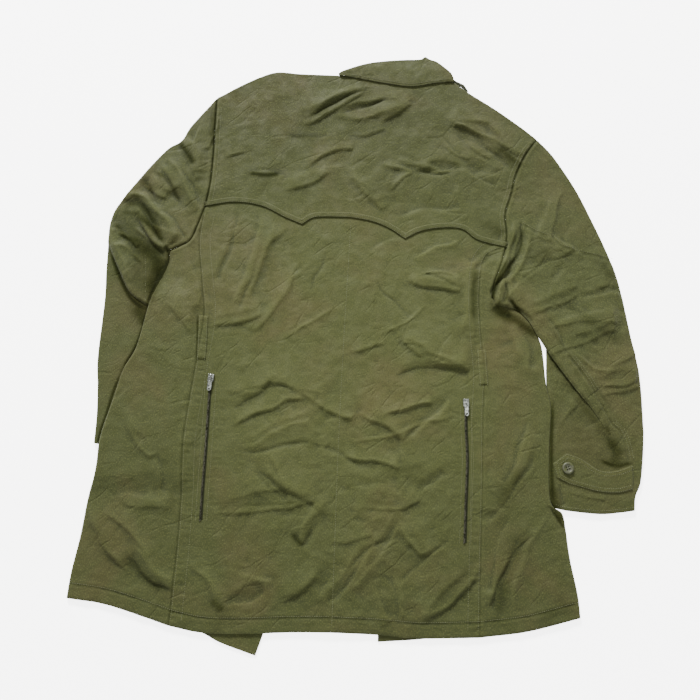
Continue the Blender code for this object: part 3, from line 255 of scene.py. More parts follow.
# Crooked creases that need more than two points, mostly at the armpits, the hem and the cuff
DEEP_CREASES = (
    # points, half width, height
    (((-361, 180), (-338, 152), (-312, 118)), 5.0, -3.5), (((-388, 132), (-366, 128), (-340, 104)), 6.0, 2.6),
    (((-316, 196), (-296, 168), (-276, 142)), 5.0, -2.6), (((346, -196), (364, -204), (384, -203)), 7.0, -3.0),
    (((292, -232), (291, -252), (296, -270)), 4.0, -2.4), (((-295, 312), (-281, 296), (-267, 268)), 5, -3.6),
    (((-281, 322), (-265, 296), (-260, 254)), 5, 3.4), (((-331, 262), (-307, 240), (-289, 204)), 5, -3.2),
    (((-316, 285), (-289, 254), (-264, 199)), 6, 3.6), (((-287, 259), (-272, 233), (-256, 202)), 4, -3.2),
    (((-354, 249), (-334, 228), (-321, 204)), 6, -3.4), (((-384, 211), (-345, 197), (-313, 140)), 6, -4.5),
    (((-377, 226), (-335, 212), (-293, 145)), 8, 4.6), (((-242, 375), (-241, 314)), 4.5, -2.6),
    (((-181, 261), (-129, 255)), 6, -3.0), (((-386, 175), (-362, 138), (-354, 108)), 7, -3.4),
    (((-394, 151), (-372, 108), (-355, 75)), 6, 3.0), (((144, 351), (181, 333), (225, 310), (254, 282)), 6, 4.4),
    (((155, 335), (194, 314), (244, 268)), 6, -3.2), (((132, 321), (148, 303), (165, 280)), 3.5, -2.6),
    (((60, 273), (105, 259), (121, 254), (155, 264)), 3.5, -2.6), (((60, 282), (105, 269), (127, 264)), 5, 2.6),
    (((-18, 252), (9, 226), (28, 197)), 3.5, -2.0), (((170, 92), (189, 108), (210, 123)), 5, -3.0),
    (((87, 92), (143, 84)), 3, -1.8), (((74, 75), (142, 58)), 3, -1.8),
    (((238, -296), (203, -368), (191, -425)), 9, -3.4), (((259, -285), (225, -357), (211, -409)), 8, 3.4),
    (((-341, -335), (-303, -371), (-277, -385)), 6, -3.0), (((-328, -324), (-290, -360), (-272, -374)), 6, 3.0),
    (((-398, -285), (-359, -341), (-332, -360)), 5, -2.4), (((-103, -305), (-86, -322), (-73, -296)), 4, -3.0),
    (((275, -268), (283, -282), (293, -299)), 2.6, -2.4), (((363, -164), (374, -187), (368, -208)), 7, -2.6),
    (((283, 18), (304, -11), (312, -33)), 4, -2.4), (((325, -36), (355, -61), (385, -67)), 5, 2.4),
    (((252, 172), (254, 145), (244, 118), (231, 102), (218, 84), (207, 62), (203, 42)), 3.4, -5.4),
    (((237, 172), (241, 148), (234, 126), (222, 105), (211, 84)), 4.5, 4.8),
    (((264, 168), (266, 138), (255, 115), (239, 95), (227, 77)), 6.0, 4.2),
    (((216, 75), (215, 59), (210, 43)), 3.5, 3.6), (((224, 75), (226, 58), (220, 42)), 3.0, -4.5),
    (((230, 48), (237, 35), (246, 26), (259, 10)), 3.5, -6.0), (((202, 40), (213, 24), (232, 18)), 6, -4.0),
    (((-92, 355), (-54, 378), (-18, 397), (15, 411)), 3.2, -2.8), (((-30, 366), (12, 378), (51, 393)), 3.2, -2.6),
    (((-95, 367), (-51, 393), (-8, 411)), 5.5, 2.4), (((-308, 133), (-302, 116), (-310, 93), (-319, 74)), 4.0, -4.0),
    (((21, 77), (44, 48), (73, 22)), 2.6, -2.0), (((90, 93), (122, 80), (156, 62)), 2.6, -2.0),
    (((25, -8), (62, 11), (98, 37)), 2.6, 2.0), (((58, -27), (104, -31), (143, -42)), 2.6, -2.0),
    (((-56, 121), (-68, 92), (-77, 61)), 2.6, -1.8), (((-115, -8), (-80, 8), (-47, 32)), 2.6, 1.8),
    (((-185, -187), (-129, -183), (-74, -170)), 2.8, -2.0), (((-74, -171), (-25, -196), (20, -215)), 2.8, -2.0),
    (((-18, -171), (56, -158), (135, -132)), 2.6, 1.8), (((-156, -215), (-113, -242), (-63, -279)), 2.8, -2.0),
    (((-27, -357), (12, -328), (54, -305)), 2.8, -2.2), (((56, -366), (91, -338), (129, -313)), 2.8, -2.2),
    (((-202, -104), (-151, -91), (-93, -96)), 2.4, -1.6), (((-157, 128), (-174, 75), (-191, 27)), 2.6, -1.8),
)

# Painted shade: hollows, the ground under fold edges and gaps where the cloth lies in shade, painted darker into its
# colour
SHADES = {
    # how a piece's name begins: points, half width, strength
    "sleeve_left_upper": (
        (((-349, 140), (-319, 108), (-328, 53)), 15, 0.78), (((-386, 175), (-356, 145), (-348, 62)), 13, 0.4),
        (((-384, 211), (-345, 197), (-313, 145)), 7, 0.55), (((-295, 312), (-267, 271)), 6, 0.6),
        (((-354, 249), (-334, 228)), 7, 0.5), (((-331, 262), (-307, 240), (-289, 205)), 5, 0.45),
        (((-244, 378), (-243, 314)), 5, 0.4),
        (((-308, 133), (-302, 116), (-310, 93), (-320, 72), (-327, 53), (-332, 34)), 3.0, 0.97),
        (((-391, 175), (-372, 150), (-349, 140)), 5, 0.5), (((-354, 183), (-332, 165), (-311, 140)), 4, 0.6),
        (((-381, 192), (-352, 187), (-332, 168)), 5, 0.45),
    ),
    "sleeve_left_forearm": (
        (((-379, 108), (-334, 37)), 16, 0.6),
        (((-330, 37), (-334, 11), (-340, -14), (-349, -36), (-364, -64)), 3.4, 0.97),
        (((-364, -64), (-375, -98), (-382, -128), (-391, -164), (-395, -208)), 2.6, 0.8),
        (((-396, 128), (-375, 80), (-359, 51), (-343, 37), (-329, 32)), 3.2, 0.95),
        (((-349, 37), (-332, 8)), 12, 0.6),
    ),
    "side_left": (
        (((-298, 121), (-327, 34)), 4, 0.35), (((-398, -285), (-359, -341), (-327, -357)), 9, 0.2),
        (((-341, -335), (-303, -371), (-277, -385)), 8, 0.35), (((-252, 21), (-250, -52)), 2.0, 0.7),
    ),
    "side_right": (
        (((176, 98), (171, 11)), 7, 0.5), (((221, 27), (270, -13)), 6, 0.55),
        (((238, -296), (203, -368), (191, -425)), 13, 0.32), (((232, -214), (195, -265)), 12, 0.35),
        (((291, -393), (250, -425)), 16, 0.2), (((282, -271), (291, -287)), 5, 0.6),
        (((275, -268), (283, -282), (293, -299)), 2.2, 0.6), (((213, 18), (244, 10), (267, -9)), 8, 0.35),
    ),
    "back_right": (
        (((176, 98), (171, 11)), 6, 0.45), (((101, -393), (154, -349)), 8, 0.25), (((56, -214), (91, -208)), 4, 0.3),
        (((4, -257), (84, -268)), 4, 0.25),
    ),
    "back_yoke": (
        (((195, 175), (227, 151)), 12, 0.28), (((-100, 357), (-18, 395), (38, 411)), 8, 0.15),
        (((-181, 259), (-155, 255), (-131, 258)), 4.5, 0.85), (((224, 303), (252, 273)), 7, 0.5),
        (((59, 243), (8, 219)), 10, 0.25), (((-119, 324), (-67, 322)), 5, 0.45),
        (((125, 165), (172, 151), (218, 136)), 5, 0.2), (((-90, 355), (-51, 378), (-18, 397), (12, 409)), 2.4, 0.4),
        (((-26, 366), (12, 378), (51, 393)), 2.4, 0.4),
    ),
    "sleeve_right_upper": (
        (((264, 108), (294, 128)), 9, 0.35), (((374, 108), (391, 79)), 9, 0.35),
        (((307, 46), (366, -1), (407, -25)), 8, 0.25), (((286, 5), (311, -36), (345, -82), (375, -125)), 3.0, 0.25),
        (((364, -149), (371, -170)), 4, 0.5),
        (((252, 168), (253, 143), (244, 118), (231, 102), (218, 84), (207, 62), (203, 42)), 2.6, 0.6),
        (((227, 108), (215, 87), (206, 62), (202, 42)), 2.0, 0.75), (((223, 74), (226, 56), (219, 40)), 1.8, 0.5),
    ),
    "sleeve_right_forearm": (
        (((275, -237), (282, -274)), 9, 0.6), (((300, -67), (363, -164)), 8, 0.3),
        (((351, -202), (386, -202)), 8, 0.25), (((364, -165), (376, -187), (370, -208)), 7, 0.3),
        (((288, -42), (304, -64)), 7, 0.5), (((284, -110), (276, -228)), 3.5, 0.2),
        (((286, -27), (309, -58), (331, -90), (354, -125), (366, -158)), 3.2, 0.85),
        (((286, -113), (280, -184), (277, -261)), 3.4, 0.7), (((368, -170), (383, -193)), 11, 0.4),
        (((353, -200), (374, -208), (397, -203)), 3, 0.6), (((316, -110), (334, -228)), 45, 0.12),
    ),
    "back_left": (
        (((-214, -395), (-196, -409)), 7, 0.5), (((-103, -305), (-86, -322)), 5, 0.5),
        (((-109, -257), (-103, -262)), 4, 0.2), (((-193, -264), (-97, -260), (-68, -254)), 3, 0.3),
        (((-252, 21), (-250, -52)), 2.0, 0.7),
    ),
    ("sleeve_right", "side_right"): (
        (((230, 46), (237, 35), (246, 26)), 2.6, 0.95), (((203, 37), (218, 24), (232, 22)), 10, 0.7),
    ),
}

# Where the cloth is crumpled more than elsewhere
CRUMPLED = (
    # x, y, radius, added strength
    (-20, -250, 160, 0.40),
    (40, -330, 120, 0.25),
    (120, 250, 110, 0.30),
    (330, 50, 120, 0.50),
    (-340, 190, 70, 0.30),
)
BASE_CRUMPLE = 0.55
CRUMPLES = (
    # height, seed, and for its crests and its valleys: turn, stretch, span
    (2.7, 11, (35, 1.5, 74.0), (-30, 1.4, 62.0)),
    (1.4, 13, (60, 1.6, 34.0), (-12, 1.7, 30.0)),
    (0.75, 15, (20, 1.5, 15.0), (-55, 1.5, 13.0)),
    (0.3, 17, (-35, 1.6, 7.0), (40, 1.6, 6.0)),
)


def spline(points, count):
    """A smooth curve through the points, as count + 1 points spaced evenly along it."""
    knots = np.array(points, float)
    knots = np.vstack([2 * knots[0] - knots[1], knots, 2 * knots[-1] - knots[-2]])
    t = (np.arange(16) / 16.0)[:, None]
    dense = []
    for before, start, end, after in zip(knots, knots[1:], knots[2:], knots[3:]):
        bend = (2 * before - 5 * start + 4 * end - after) * t ** 2
        twist = (3 * start - before - 3 * end + after) * t ** 3
        dense.append(0.5 * (2 * start + (end - before) * t + bend + twist))
    dense.append(knots[-2:-1])
    return spaced(np.vstack(dense), count)


def spaced(line, count, first=0.0, last=0.0):
    """The line as count + 1 evenly spaced points, without the given lengths at its two ends."""
    lengths = np.concatenate([[0.0], np.cumsum(np.linalg.norm(np.diff(line, axis=0), axis=1))])
    targets = np.linspace(first, lengths[-1] - last, count + 1)
    return np.stack([np.interp(targets, lengths, line[:, axis]) for axis in range(line.shape[1])], axis=1)


def joined(*lines):
    """Lines laid end to end, without their shared points twice."""
    return np.vstack([lines[0]] + [line[1:] for line in lines[1:]])


def normals(line):
    """Unit vectors to the left of a line at each of its points."""
    along = np.gradient(line[:, :2], axis=0)
    left = np.stack([-along[:, 1], along[:, 0]], axis=1)
    return left / np.maximum(np.linalg.norm(left, axis=1, keepdims=True), 1e-9)


def shifted(line, distance):
    """The line moved to its left."""
    return line + normals(line) * distance


def patch(near, far, left, right, haste=1.0):
    """A grid of points between four seams: near and far run from left to right, the others to far."""
    v = (np.linspace(0.0, 1.0, len(left)) ** haste)[:, None, None]
    u = np.linspace(0.0, 1.0, len(near))[None, :, None]
    corners = near[0] * (1 - u) * (1 - v) + near[-1] * u * (1 - v) + far[0] * (1 - u) * v + far[-1] * u * v
    sides = left[:, None] * (1 - u) + right[:, None] * u
    return near[None] * (1 - v) + far[None] * v + sides - corners


def ramp(value):
    """Rises smoothly from 0 to 1."""
    value = np.clip(value, 0.0, 1.0)
    return value * value * (3.0 - 2.0 * value)


def nearest(points, line):
    """Each point's distance to a line and how far along it, from 0 to 1."""
    flat = points.reshape(-1, 2)
    best = np.full(len(flat), np.inf)
    share = np.zeros(len(flat))
    spans = len(line) - 1
    for number in range(spans):
        run = line[number + 1] - line[number]
        offset = flat - line[number]
        along = np.clip(offset @ run / max(run @ run, 1e-9), 0.0, 1.0)
        distance = np.linalg.norm(offset - along[:, None] * run, axis=1)
        closer = distance < best
        best[closer] = distance[closer]
        share[closer] = (number + along[closer]) / spans
    return best.reshape(points.shape[:-1]), share.reshape(points.shape[:-1])


def lattice(seed):
    """A table of random unit slopes for the noise."""
    angles = np.random.RandomState(seed).uniform(0.0, 2.0 * math.pi, (64, 64))
    return np.stack([np.cos(angles), np.sin(angles)], axis=2)


def drift(points, span, seed):
    """Smooth gradient noise, about -0.7 to 0.7, that changes over the span in millimetres."""
    table = lattice(seed)
    place = points / span + 17.3
    cell = np.floor(place).astype(int)
    offset = place - cell
    fade = offset ** 3 * (offset * (offset * 6.0 - 15.0) + 10.0)
    total = 0.0
    for dx in (0, 1):
        for dy in (0, 1):
            slopes = table[(cell[..., 0] + dx) % 64, (cell[..., 1] + dy) % 64]
            value = slopes[..., 0] * (offset[..., 0] - dx) + slopes[..., 1] * (offset[..., 1] - dy)
            weight_x = fade[..., 0] if dx else 1.0 - fade[..., 0]
            weight_y = fade[..., 1] if dy else 1.0 - fade[..., 1]
            total = total + value * weight_x * weight_y
    return total


def turned(points, degrees, stretch=1.0):
    """The points in axes turned by the angle, with the second axis pressed together."""
    angle = math.radians(degrees)
    x = points[..., 0] * math.cos(angle) + points[..., 1] * math.sin(angle)
    y = points[..., 1] * math.cos(angle) - points[..., 0] * math.sin(angle)
    return np.stack([x, y * stretch], axis=-1)


def wavering(points, span, seed, reach):
    """The points moved about a little, so that straight runs drawn at them waver."""
    return points + np.stack([drift(points, span, seed), drift(points, span, seed + 1)], axis=-1) * reach


def soft_abs(value, round_off=0.02):
    """The size of a value, with the sharp turn at zero rounded off."""
    return np.sqrt(value ** 2 + round_off ** 2)


def crumple(points):
    """Pressed-in wrinkles: facets between sharp valleys and crests, in four sizes."""
    place = wavering(points, 60.0, 3, 16.0)
    total = 0.0
    for height, seed, crests, valleys in CRUMPLES:
        up, down = (soft_abs(drift(turned(place, degrees, stretch), span, seed + number))
                    for number, (degrees, stretch, span) in enumerate((crests, valleys)))
        total = total + height * (up - down)
    return total


def crest(across, beyond, steep, gentle, side):
    """A pressed crease: a crisp crest that falls away fast on one side and slowly on the other."""
    reach = np.where(across * side > 0.0, gentle, steep)
    distance = np.sqrt((across / reach) ** 2 + (beyond / (1.4 * steep)) ** 2 + CREST_ROUNDING)
    return np.exp(-1.5 * (distance - math.sqrt(CREST_ROUNDING)))


def stroke(points, row, steep, gentle, number=0):
    """One crease along a slightly bowed run that thins out towards its ends."""
    x0, y0, x1, y1, width, height = row
    start = np.array((x0, y0), float)
    run = np.array((x1 - x0, y1 - y0), float)
    length = math.hypot(*run)
    offset = points - start
    share = offset @ run / length ** 2
    across = (offset[..., 1] * run[0] - offset[..., 0] * run[1]) / length
    inside = np.clip(share, 0.0, 1.0)
    bow = 0.07 * math.sin(2.4 * number + 1.0)
    across = across - bow * length * 4.0 * inside * (1.0 - inside)
    beyond = np.abs(share - inside) * length
    thin = np.clip(0.30 + 2.8 * inside * (1.2 - inside), 0.0, 1.0)
    # The steep side lies away from the light, down the garment
    side = 1.0 if run[0] > 0 else -1.0
    if number % 4 == 3:
        side = -side
    return height * thin * crest(across, beyond, steep * width, gentle * width, side)


def region_strength(points):
    """How strongly the cloth is crumpled here."""
    total = np.full(points.shape[:-1], BASE_CRUMPLE)
    for x, y, radius, strength in CRUMPLED:
        total = total + strength * np.exp(-(((points[..., 0] - x) ** 2 + (points[..., 1] - y) ** 2) / radius ** 2))
    return np.maximum(total, 0.05)


def calm(points):
    """0 beside the yoke's edge, the neck and the zips, 1 away from them."""
    least = np.ones(points.shape[:-1])
    for line, full, fade in CALM_LINES:
        distance, _ = nearest(points, line)
        least = np.minimum(least, ramp((distance - full) / fade))
    return least


def folds(points):
    """The largest folds, where the part's solids have them, with a crisper crest."""
    place = wavering(points, 55.0, 7, 12.0)
    return sum(FOLD_SHARE * stroke(place, row, 0.50, 2.0, number) for number, row in enumerate(FOLDS))


def creases(points):
    """The creases read from the photograph, laid along their own runs."""
    place = wavering(points, 42.0, 5, 9.0)
    total = sum(CREASE_SHARE * stroke(place, row, 0.34, 3.0, number) for number, row in enumerate(CREASES))
    for run, width, height in DEEP_CREASES:
        distance, share = nearest(place, spread_line(run, 5.0))
        thin = np.clip(4.0 * np.minimum(share, 1.0 - share) + 0.25, 0.0, 1.0)
        total += height * thin * crest(distance, 0.0, width, width, 1.0)
    return total


def puckers(points):
    """Short gathered wrinkles across the felled seams and beside the zips."""
    total = np.zeros(points.shape[:-1])
    for line, near, far, height in PUCKERS:
        order = np.argsort(line[:, 1])
        offset = points[..., 0] - np.interp(points[..., 1], line[order, 1], line[order, 0])
        along = points[..., 1]
        ends = ramp((along - line[:, 1].min()) / 8.0) * ramp((line[:, 1].max() - along) / 8.0)
        inside = ramp((offset - near) / 3.0) * ramp((far - offset) / 3.0) * ends
        ripple = np.sin(along / 1.5 + 1.6 * np.sin(along / 11.0) + 0.05 * offset)
        uneven = np.clip(0.65 + 1.3 * drift(points, 34.0, 41), 0.0, 1.3)
        total -= height * inside * uneven * np.clip(ripple, -0.25, 1.0)
    return total


def seam_relief(points, lines):
    """A sewn seam: a narrow groove between two low swellings, gathered a little along its run."""
    total = np.zeros(points.shape[:-1])
    for line, depth, pucker in lines:
        distance, share = nearest(points, line)
        length = np.linalg.norm(np.diff(line, axis=0), axis=1).sum()
        ripple = np.sin(share * length / 3.1 + 1.7 * np.sin(share * length / 23.0))
        ripple *= 0.55 + 0.45 * np.sin(share * length / 61.0 + 2.0)
        total -= depth * np.exp(-((distance / 1.3) ** 2))
        total += 0.5 * depth * np.exp(-(((distance - 4.2) / 2.6) ** 2))
        total += pucker * ripple * np.exp(-((distance / 9.0) ** 2))
    return total


def sleeve_lift(points):
    """How far the left forearm raises the cloth that lies on it."""
    across, along = (np.maximum(np.maximum(low - points[..., axis], points[..., axis] - high), 0.0)
                     for axis, (low, high) in enumerate(FOREARM_BOX))
    return SLEEVE_LIFT * ramp(1.0 - np.hypot(across, along) / LIFT_SLOPE)


def cloth(points, lines):
    """The height of creased cloth above its lay, held between the layers beneath and a soft top."""
    quiet = calm(points)
    relief = folds(points) * quiet + creases(points) * (0.25 + 0.75 * quiet)
    relief += crumple(points) * region_strength(points) * (0.3 + 0.7 * quiet)
    relief += seam_relief(points, lines) + puckers(points)
    low = LOWEST_TOP - BACK_TOP
    return np.where(relief < 0.0, low * np.tanh(relief / low), 8.0 * np.tanh(relief / 8.0))


def back_height(points):
    """The top of the body's cloth."""
    return sleeve_lift(points) + BACK_TOP + cloth(points, BODY_SEAMS)


def upper_left_height(points):
    """The top of the left upper sleeve, which swells and turns down where it folds over the forearm."""
    distance, _ = nearest(points, FOLD_LEFT_LINE)
    rise = 0.6 * OVERLAP_RISE * ramp(1.0 - (distance - 16.0) / 30.0)
    edge = 1.9 * np.exp(-((distance / 2.4) ** 2))
    return BACK_TOP + cloth(points, SLEEVE_LEFT_SEAMS) + rise - edge


def upper_right_height(points):
    """The top of the right upper sleeve: as the left one's, and flat where it is sewn to the side."""
    distance, share = nearest(points, FOLD_RIGHT_LINE)
    sewn, _ = nearest(points, ARMHOLE_RIGHT[::4])
    free = ramp((1.0 - share) / 0.3)
    rise = OVERLAP_RISE * ramp(1.0 - (distance - 18.0) / 34.0) * free * ramp(sewn / 16.0)
    edge = 2.3 * np.exp(-((distance / 2.6) ** 2)) * free
    return BACK_TOP + cloth(points, SLEEVE_RIGHT_SEAMS) + rise - edge


def forearm_right_height(points):
    """Pressed down where the upper sleeve's fold lies on it."""
    distance, share = nearest(points, FOLD_RIGHT_LINE)
    pressed = 1.6 * np.exp(-((distance / 6.0) ** 2)) * ramp((0.86 - share) / 0.2)
    return BACK_TOP + np.maximum(cloth(points, SLEEVE_RIGHT_SEAMS) - pressed, LOWEST_TOP - BACK_TOP)


def forearm_left_height(points):
    """The top of the left forearm, nearly flat under the body's side."""
    return FOREARM_TOP + 0.25 * np.clip(cloth(points, ()), -2.0, 2.0)


def front_height(points):
    """Flat under the back, with a soft wave only where the hem's corner shows."""
    shows = ramp((-434.0 - points[..., 1]) / 26.0)
    wave = 2.2 * soft_abs(drift(points, 46.0, 21)) + 1.0 * drift(points, 18.0, 22)
    return sleeve_lift(points) + WALL + shows * wave


def above(points, line):
    """Whether each point lies on the collar's side of a line that runs across the garment."""
    return points[..., 1] > np.interp(points[..., 0], line[:, 0], line[:, 1])


def collar_height(points):
    """Over the yoke the fall lies on its cloth; past the neck it comes down to the stand."""
    distance, _ = nearest(points, NECK_LINE)
    beyond = np.where(above(points, NECK_LINE), distance, 0.0)
    over = BACK_TOP + GAP + WALL + 0.4
    slack = 1.3 * soft_abs(drift(points, 34.0, 31)) - 1.2 * soft_abs(drift(turned(points, 30, 1.8), 22.0, 32))
    level = over - (over - 2 * WALL - GAP) * ramp((beyond - 8.0) / 40.0)
    return level + slack


def facing(grid, side):
    """The grid turned so that one of its sides is its last column; the same call turns it back."""
    if side == "first":
        return grid[:, ::-1]
    if side == "far":
        return grid.swapaxes(0, 1)
    if side == "near":
        return grid[::-1, ::-1].swapaxes(0, 1)
    return grid


def blurred(field, reach):
    """The mean of a field over a square of cells."""
    for axis in (0, 1):
        spread = [(reach, reach) if number == axis else (0, 0) for number in (0, 1)]
        padded = np.pad(field, spread, mode="edge")
        size = field.shape[axis]
        field = sum(padded.take(range(step, step + size), axis=axis) for step in range(2 * reach + 1))
        field = field / (2 * reach + 1)
    return field


def relaxed(grid, rounds):
    """The plan with every inner point eased towards the middle of its neighbours."""
    for _ in range(rounds):
        grid[1:-1, 1:-1] = (grid[:-2, 1:-1] + grid[2:, 1:-1] + grid[1:-1, :-2] + grid[1:-1, 2:]) / 4.0
    return grid


def raised(plan, height):
    """The plan with the height of its cloth as a third coordinate."""
    return np.concatenate([plan, height(plan)[..., None]], axis=-1)


def level_at(level):
    """A height function that is the same everywhere."""
    return lambda points: np.full(points.shape[:-1], level)


def rolled(outer, low, reach):
    """A panel folded round its last column and under, down to the level low."""
    line = outer[:, -1, :2]
    out = normals(line)
    inward = outer[:, -1, :2] - outer[:, -9, :2]
    if (out * inward).sum() < 0:
        out = -out
    inward = inward / np.maximum(np.linalg.norm(inward, axis=1, keepdims=True), 1e-9)
    rows = len(outer)
    place = np.arange(rows)
    share = ramp(np.minimum(place, rows - 1 - place) / END_ROWS)[:, None]
    out = out * share + inward * (1.0 - share)
    out = out / np.linalg.norm(out, axis=1, keepdims=True)
    level = low(line)
    radius = (outer[:, -1, 2] - level) / 2.0
    away = np.linalg.norm(outer[..., :2] - line[:, None], axis=2)
    pull = radius[:, None] * np.clip(1.0 - away / EASE, 0.0, 1.0) ** 2
    outer = outer.copy()
    outer[..., :2] -= pull[..., None] * out[:, None]
    centre = np.column_stack([outer[:, -1, :2], level + radius])
    flat = np.column_stack([out, np.zeros(rows)])
    up = np.array((0.0, 0.0, 1.0))
    columns = [outer]
    for angle in np.radians(ROLL_ANGLES):
        arc = centre + radius[:, None] * (flat * math.cos(angle) + up * math.sin(angle))
        columns.append(arc[:, None])
    for part in (0.4, 1.0):
        under = centre - flat * reach * part
        under[:, 2] = level
        columns.append(under[:, None])
    return np.concatenate(columns, axis=1)


def neck_level(points):
    """What the shoulder's rolled edge comes down to: the floor, and the collar's stand at the neck."""
    return (WALL + 2 * GAP) * ramp((points[..., 0] + 44.0) / 20.0) * ramp((184.0 - points[..., 0]) / 14.0)


def grid_faces(rows, columns):
    """The four corners of each cell of a grid."""
    number = np.arange(rows * columns).reshape(rows, columns)
    corners = (number[:-1, :-1], number[:-1, 1:], number[1:, 1:], number[1:, :-1])
    return np.stack([corner.ravel() for corner in corners], axis=1)


def set_values(mesh, name, values):
    """A named value on each of the mesh's vertices, for its material."""
    layer = mesh.attributes.new(name, "FLOAT", "POINT")
    layer.data.foreach_set("value", np.ascontiguousarray(values, dtype=np.float32).ravel())


def shade_at(points, name):
    """The painted shade in the cloth's hollows and along its sewn-in seams, from 0 to 1."""
    light = np.ones(points.shape[:-1])
    for pieces, rows in SHADES.items():
        if name.startswith(pieces):
            for run, width, strength in rows:
                distance, share = nearest(points, spread_line(run, 6.0))
                fading = np.clip(5.0 * np.minimum(share, 1.0 - share) + 0.35, 0.0, 1.0)
                light *= 1.0 - strength * fading * np.exp(-((distance / width) ** 2))
    for line, width, strength in PAINTED_SEAM_SHADE:
        distance, _ = nearest(points, line)
        light *= 1.0 - strength * np.exp(-((distance / width) ** 2))
    return 1.0 - light


def grid_mesh(name, outer, grain=0.0):
    """A mesh of a grid of points, with its faces up, its cut as its UV map, and its relief and its painted shade as
    attributes.
    """
    rows, columns = outer.shape[:2]
    faces = grid_faces(rows, columns)
    middle = outer[rows // 2:rows // 2 + 2, columns // 3:columns // 3 + 2]
    if np.cross(middle[0, 1] - middle[0, 0], middle[1, 0] - middle[0, 0])[2] < 0:
        faces = faces[:, ::-1]
    mesh = bpy.data.meshes.new(name)
    mesh.from_pydata((outer.reshape(-1, 3) * MM).tolist(), [], faces.tolist())
    plan = turned(outer[..., :2].reshape(-1, 2) * MM, grain)
    layer = mesh.uv_layers.new(name="cut")
    layer.data.foreach_set("uv", plan[faces.ravel()].ravel())
    height = outer[..., 2]
    near = height - blurred(height, 3)
    wide = height - blurred(height, 10)
    set_values(mesh, "shade", shade_at(outer[..., :2], name))
    set_values(mesh, "relief", np.clip(0.55 * near / 0.5 + 0.45 * wide / 1.6, -1.5, 1.5))
    mesh.shade_smooth()
    return mesh


def linked(name, data):
    """A new object in the scene."""
    made = bpy.data.objects.new(name, data)
    bpy.context.scene.collection.objects.link(made)
    return made


def as_mesh(bm, name):
    """The bmesh as a new mesh; the bmesh is freed."""
    mesh = bpy.data.meshes.new(name)
    bm.to_mesh(mesh)
    bm.free()
    return mesh


def solid_cloth(mesh, thickness):
    """The sheet as a mesh with its thickness, inwards from the face that shows, and a crisp rim."""
    sheet = linked(mesh.name, mesh)
    wall = sheet.modifiers.new("thickness", "SOLIDIFY")
    wall.thickness = thickness
    wall.offset = -1.0
    made = baked(sheet)
    made.name = mesh.name
    for vertex in made.vertices:
        vertex.co.z = max(vertex.co.z, 0.0)
    made.set_sharp_from_angle(angle=math.radians(SHARP_ANGLE))
    return made


def new_piece(name, mesh, body="garment", solid=None):
    """A finished piece in the scene, riding on its body and standing for its CAD node."""
    piece = linked(name, mesh)
    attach(piece, body)
    if solid:
        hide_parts(solid)
    return piece


def add_sheet(name, outer, finish, thickness, grain=0.0):
    """A piece of cloth from its grid of points, with its thickness, its finish and its cut."""
    mesh = grid_mesh(name + "_cloth", outer, grain)
    mesh.materials.append(finish_named(finish))
    new_piece(name + "_cloth", solid_cloth(mesh, thickness), solid=name)


def add_panel(name, seams, height, grain, hems=("near",), drop=HEM_DROP, rolls=(),
              haste=1.0, rounds=0, thickness=None):
    """A panel between its near, far, left and right seams: hems turned down, free edges rolled under."""
    outer = eased_edges(raised(relaxed(patch(*seams, haste), rounds), height), hems, drop)
    for side, low, reach in rolls:
        outer = facing(rolled(facing(outer, side), low, reach), side)
    thickness = thickness or bpy.context.scene.parka_sizes.thickness
    add_sheet(name, outer, "olive_sateen", thickness, grain)


def eased_edges(outer, sides, drop):
    """The grid with the last columns of its cut edges turned down a little, as pressed hems are."""
    outer = outer.copy()
    for side in sides:
        turned_grid = facing(outer, side)
        turned_grid[:, -1, 2] -= drop
        turned_grid[:, -2, 2] -= 0.25 * drop
    return outer


def copied_node(name, bevel, segments):
    """A merged copy of a CAD node's mesh with its edges rounded."""
    bm = bmesh.new()
    bm.from_mesh(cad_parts[name].data)
    bmesh.ops.remove_doubles(bm, verts=bm.verts[:], dist=MERGE_DISTANCE)
    bmesh.ops.dissolve_limit(bm, angle_limit=math.radians(1.0), verts=bm.verts[:], edges=bm.edges[:])
    mesh = as_mesh(bm, name)
    mesh.shade_smooth()
    piece = linked(name + "_shape", mesh)
    round_off = piece.modifiers.new("rounded", "BEVEL")
    round_off.width = bevel
    round_off.segments = segments
    round_off.limit_method = "ANGLE"
    round_off.angle_limit = math.radians(40.0)
    round_off.harden_normals = True
    return baked(piece)


def add_copied(name, ending, finish, bevel=CLOTH_BEVEL, segments=2, body="garment"):
    """A piece that is its CAD solid with rounded edges."""
    mesh = copied_node(name, bevel, segments)
    mesh.materials.clear()
    mesh.materials.append(finish_named(finish))
    piece = new_piece(name + ending, mesh, body, name)


def baked(piece):
    """The piece's evaluated mesh; the piece itself is removed."""
    graph = bpy.context.evaluated_depsgraph_get()
    graph.update()
    mesh = bpy.data.meshes.new_from_object(piece.evaluated_get(graph), preserve_all_data_layers=True, depsgraph=graph)
    bpy.data.objects.remove(piece, do_unlink=True)
    return mesh


# Materials

# Painted light falloff: tints that darken the cloth away from the back's middle and towards the shoulders
PAINTED_FALLOFF_TINT = (0.75, 0.77, 0.73, 1.0)
PAINTED_SHOULDER_SHADE_TINT = (0.82, 0.80, 0.68, 1.0)
# Painted shade: the colour that the cloth's hollows and seam lines are darkened towards
PAINTED_SHADE_TINT = (0.16, 0.175, 0.13, 1.0)
FINE_CREASES = (
    # facets per metre, turn in degrees, width of a line, its share of the depth
    (15.0, 42.0, 0.075, 0.34),
    (31.0, 30.0, 0.10, 0.14),
)

def linear(code):
    """A hex colour such as #5f5f3a as linear red, green, blue and alpha."""
    values = [int(code[start:start + 2], 16) / 255.0 for start in (1, 3, 5)]
    return tuple(v / 12.92 if v <= 0.04045 else ((v + 0.055) / 1.055) ** 2.4 for v in values) + (1.0,)


def fill(made, inputs):
    """Gives a node's inputs what they hold, each a value or a socket to link."""
    for key, value in inputs.items():
        if isinstance(value, bpy.types.NodeSocket):
            made.id_data.links.new(value, made.inputs[key])
        else:
            made.inputs[key].default_value = value


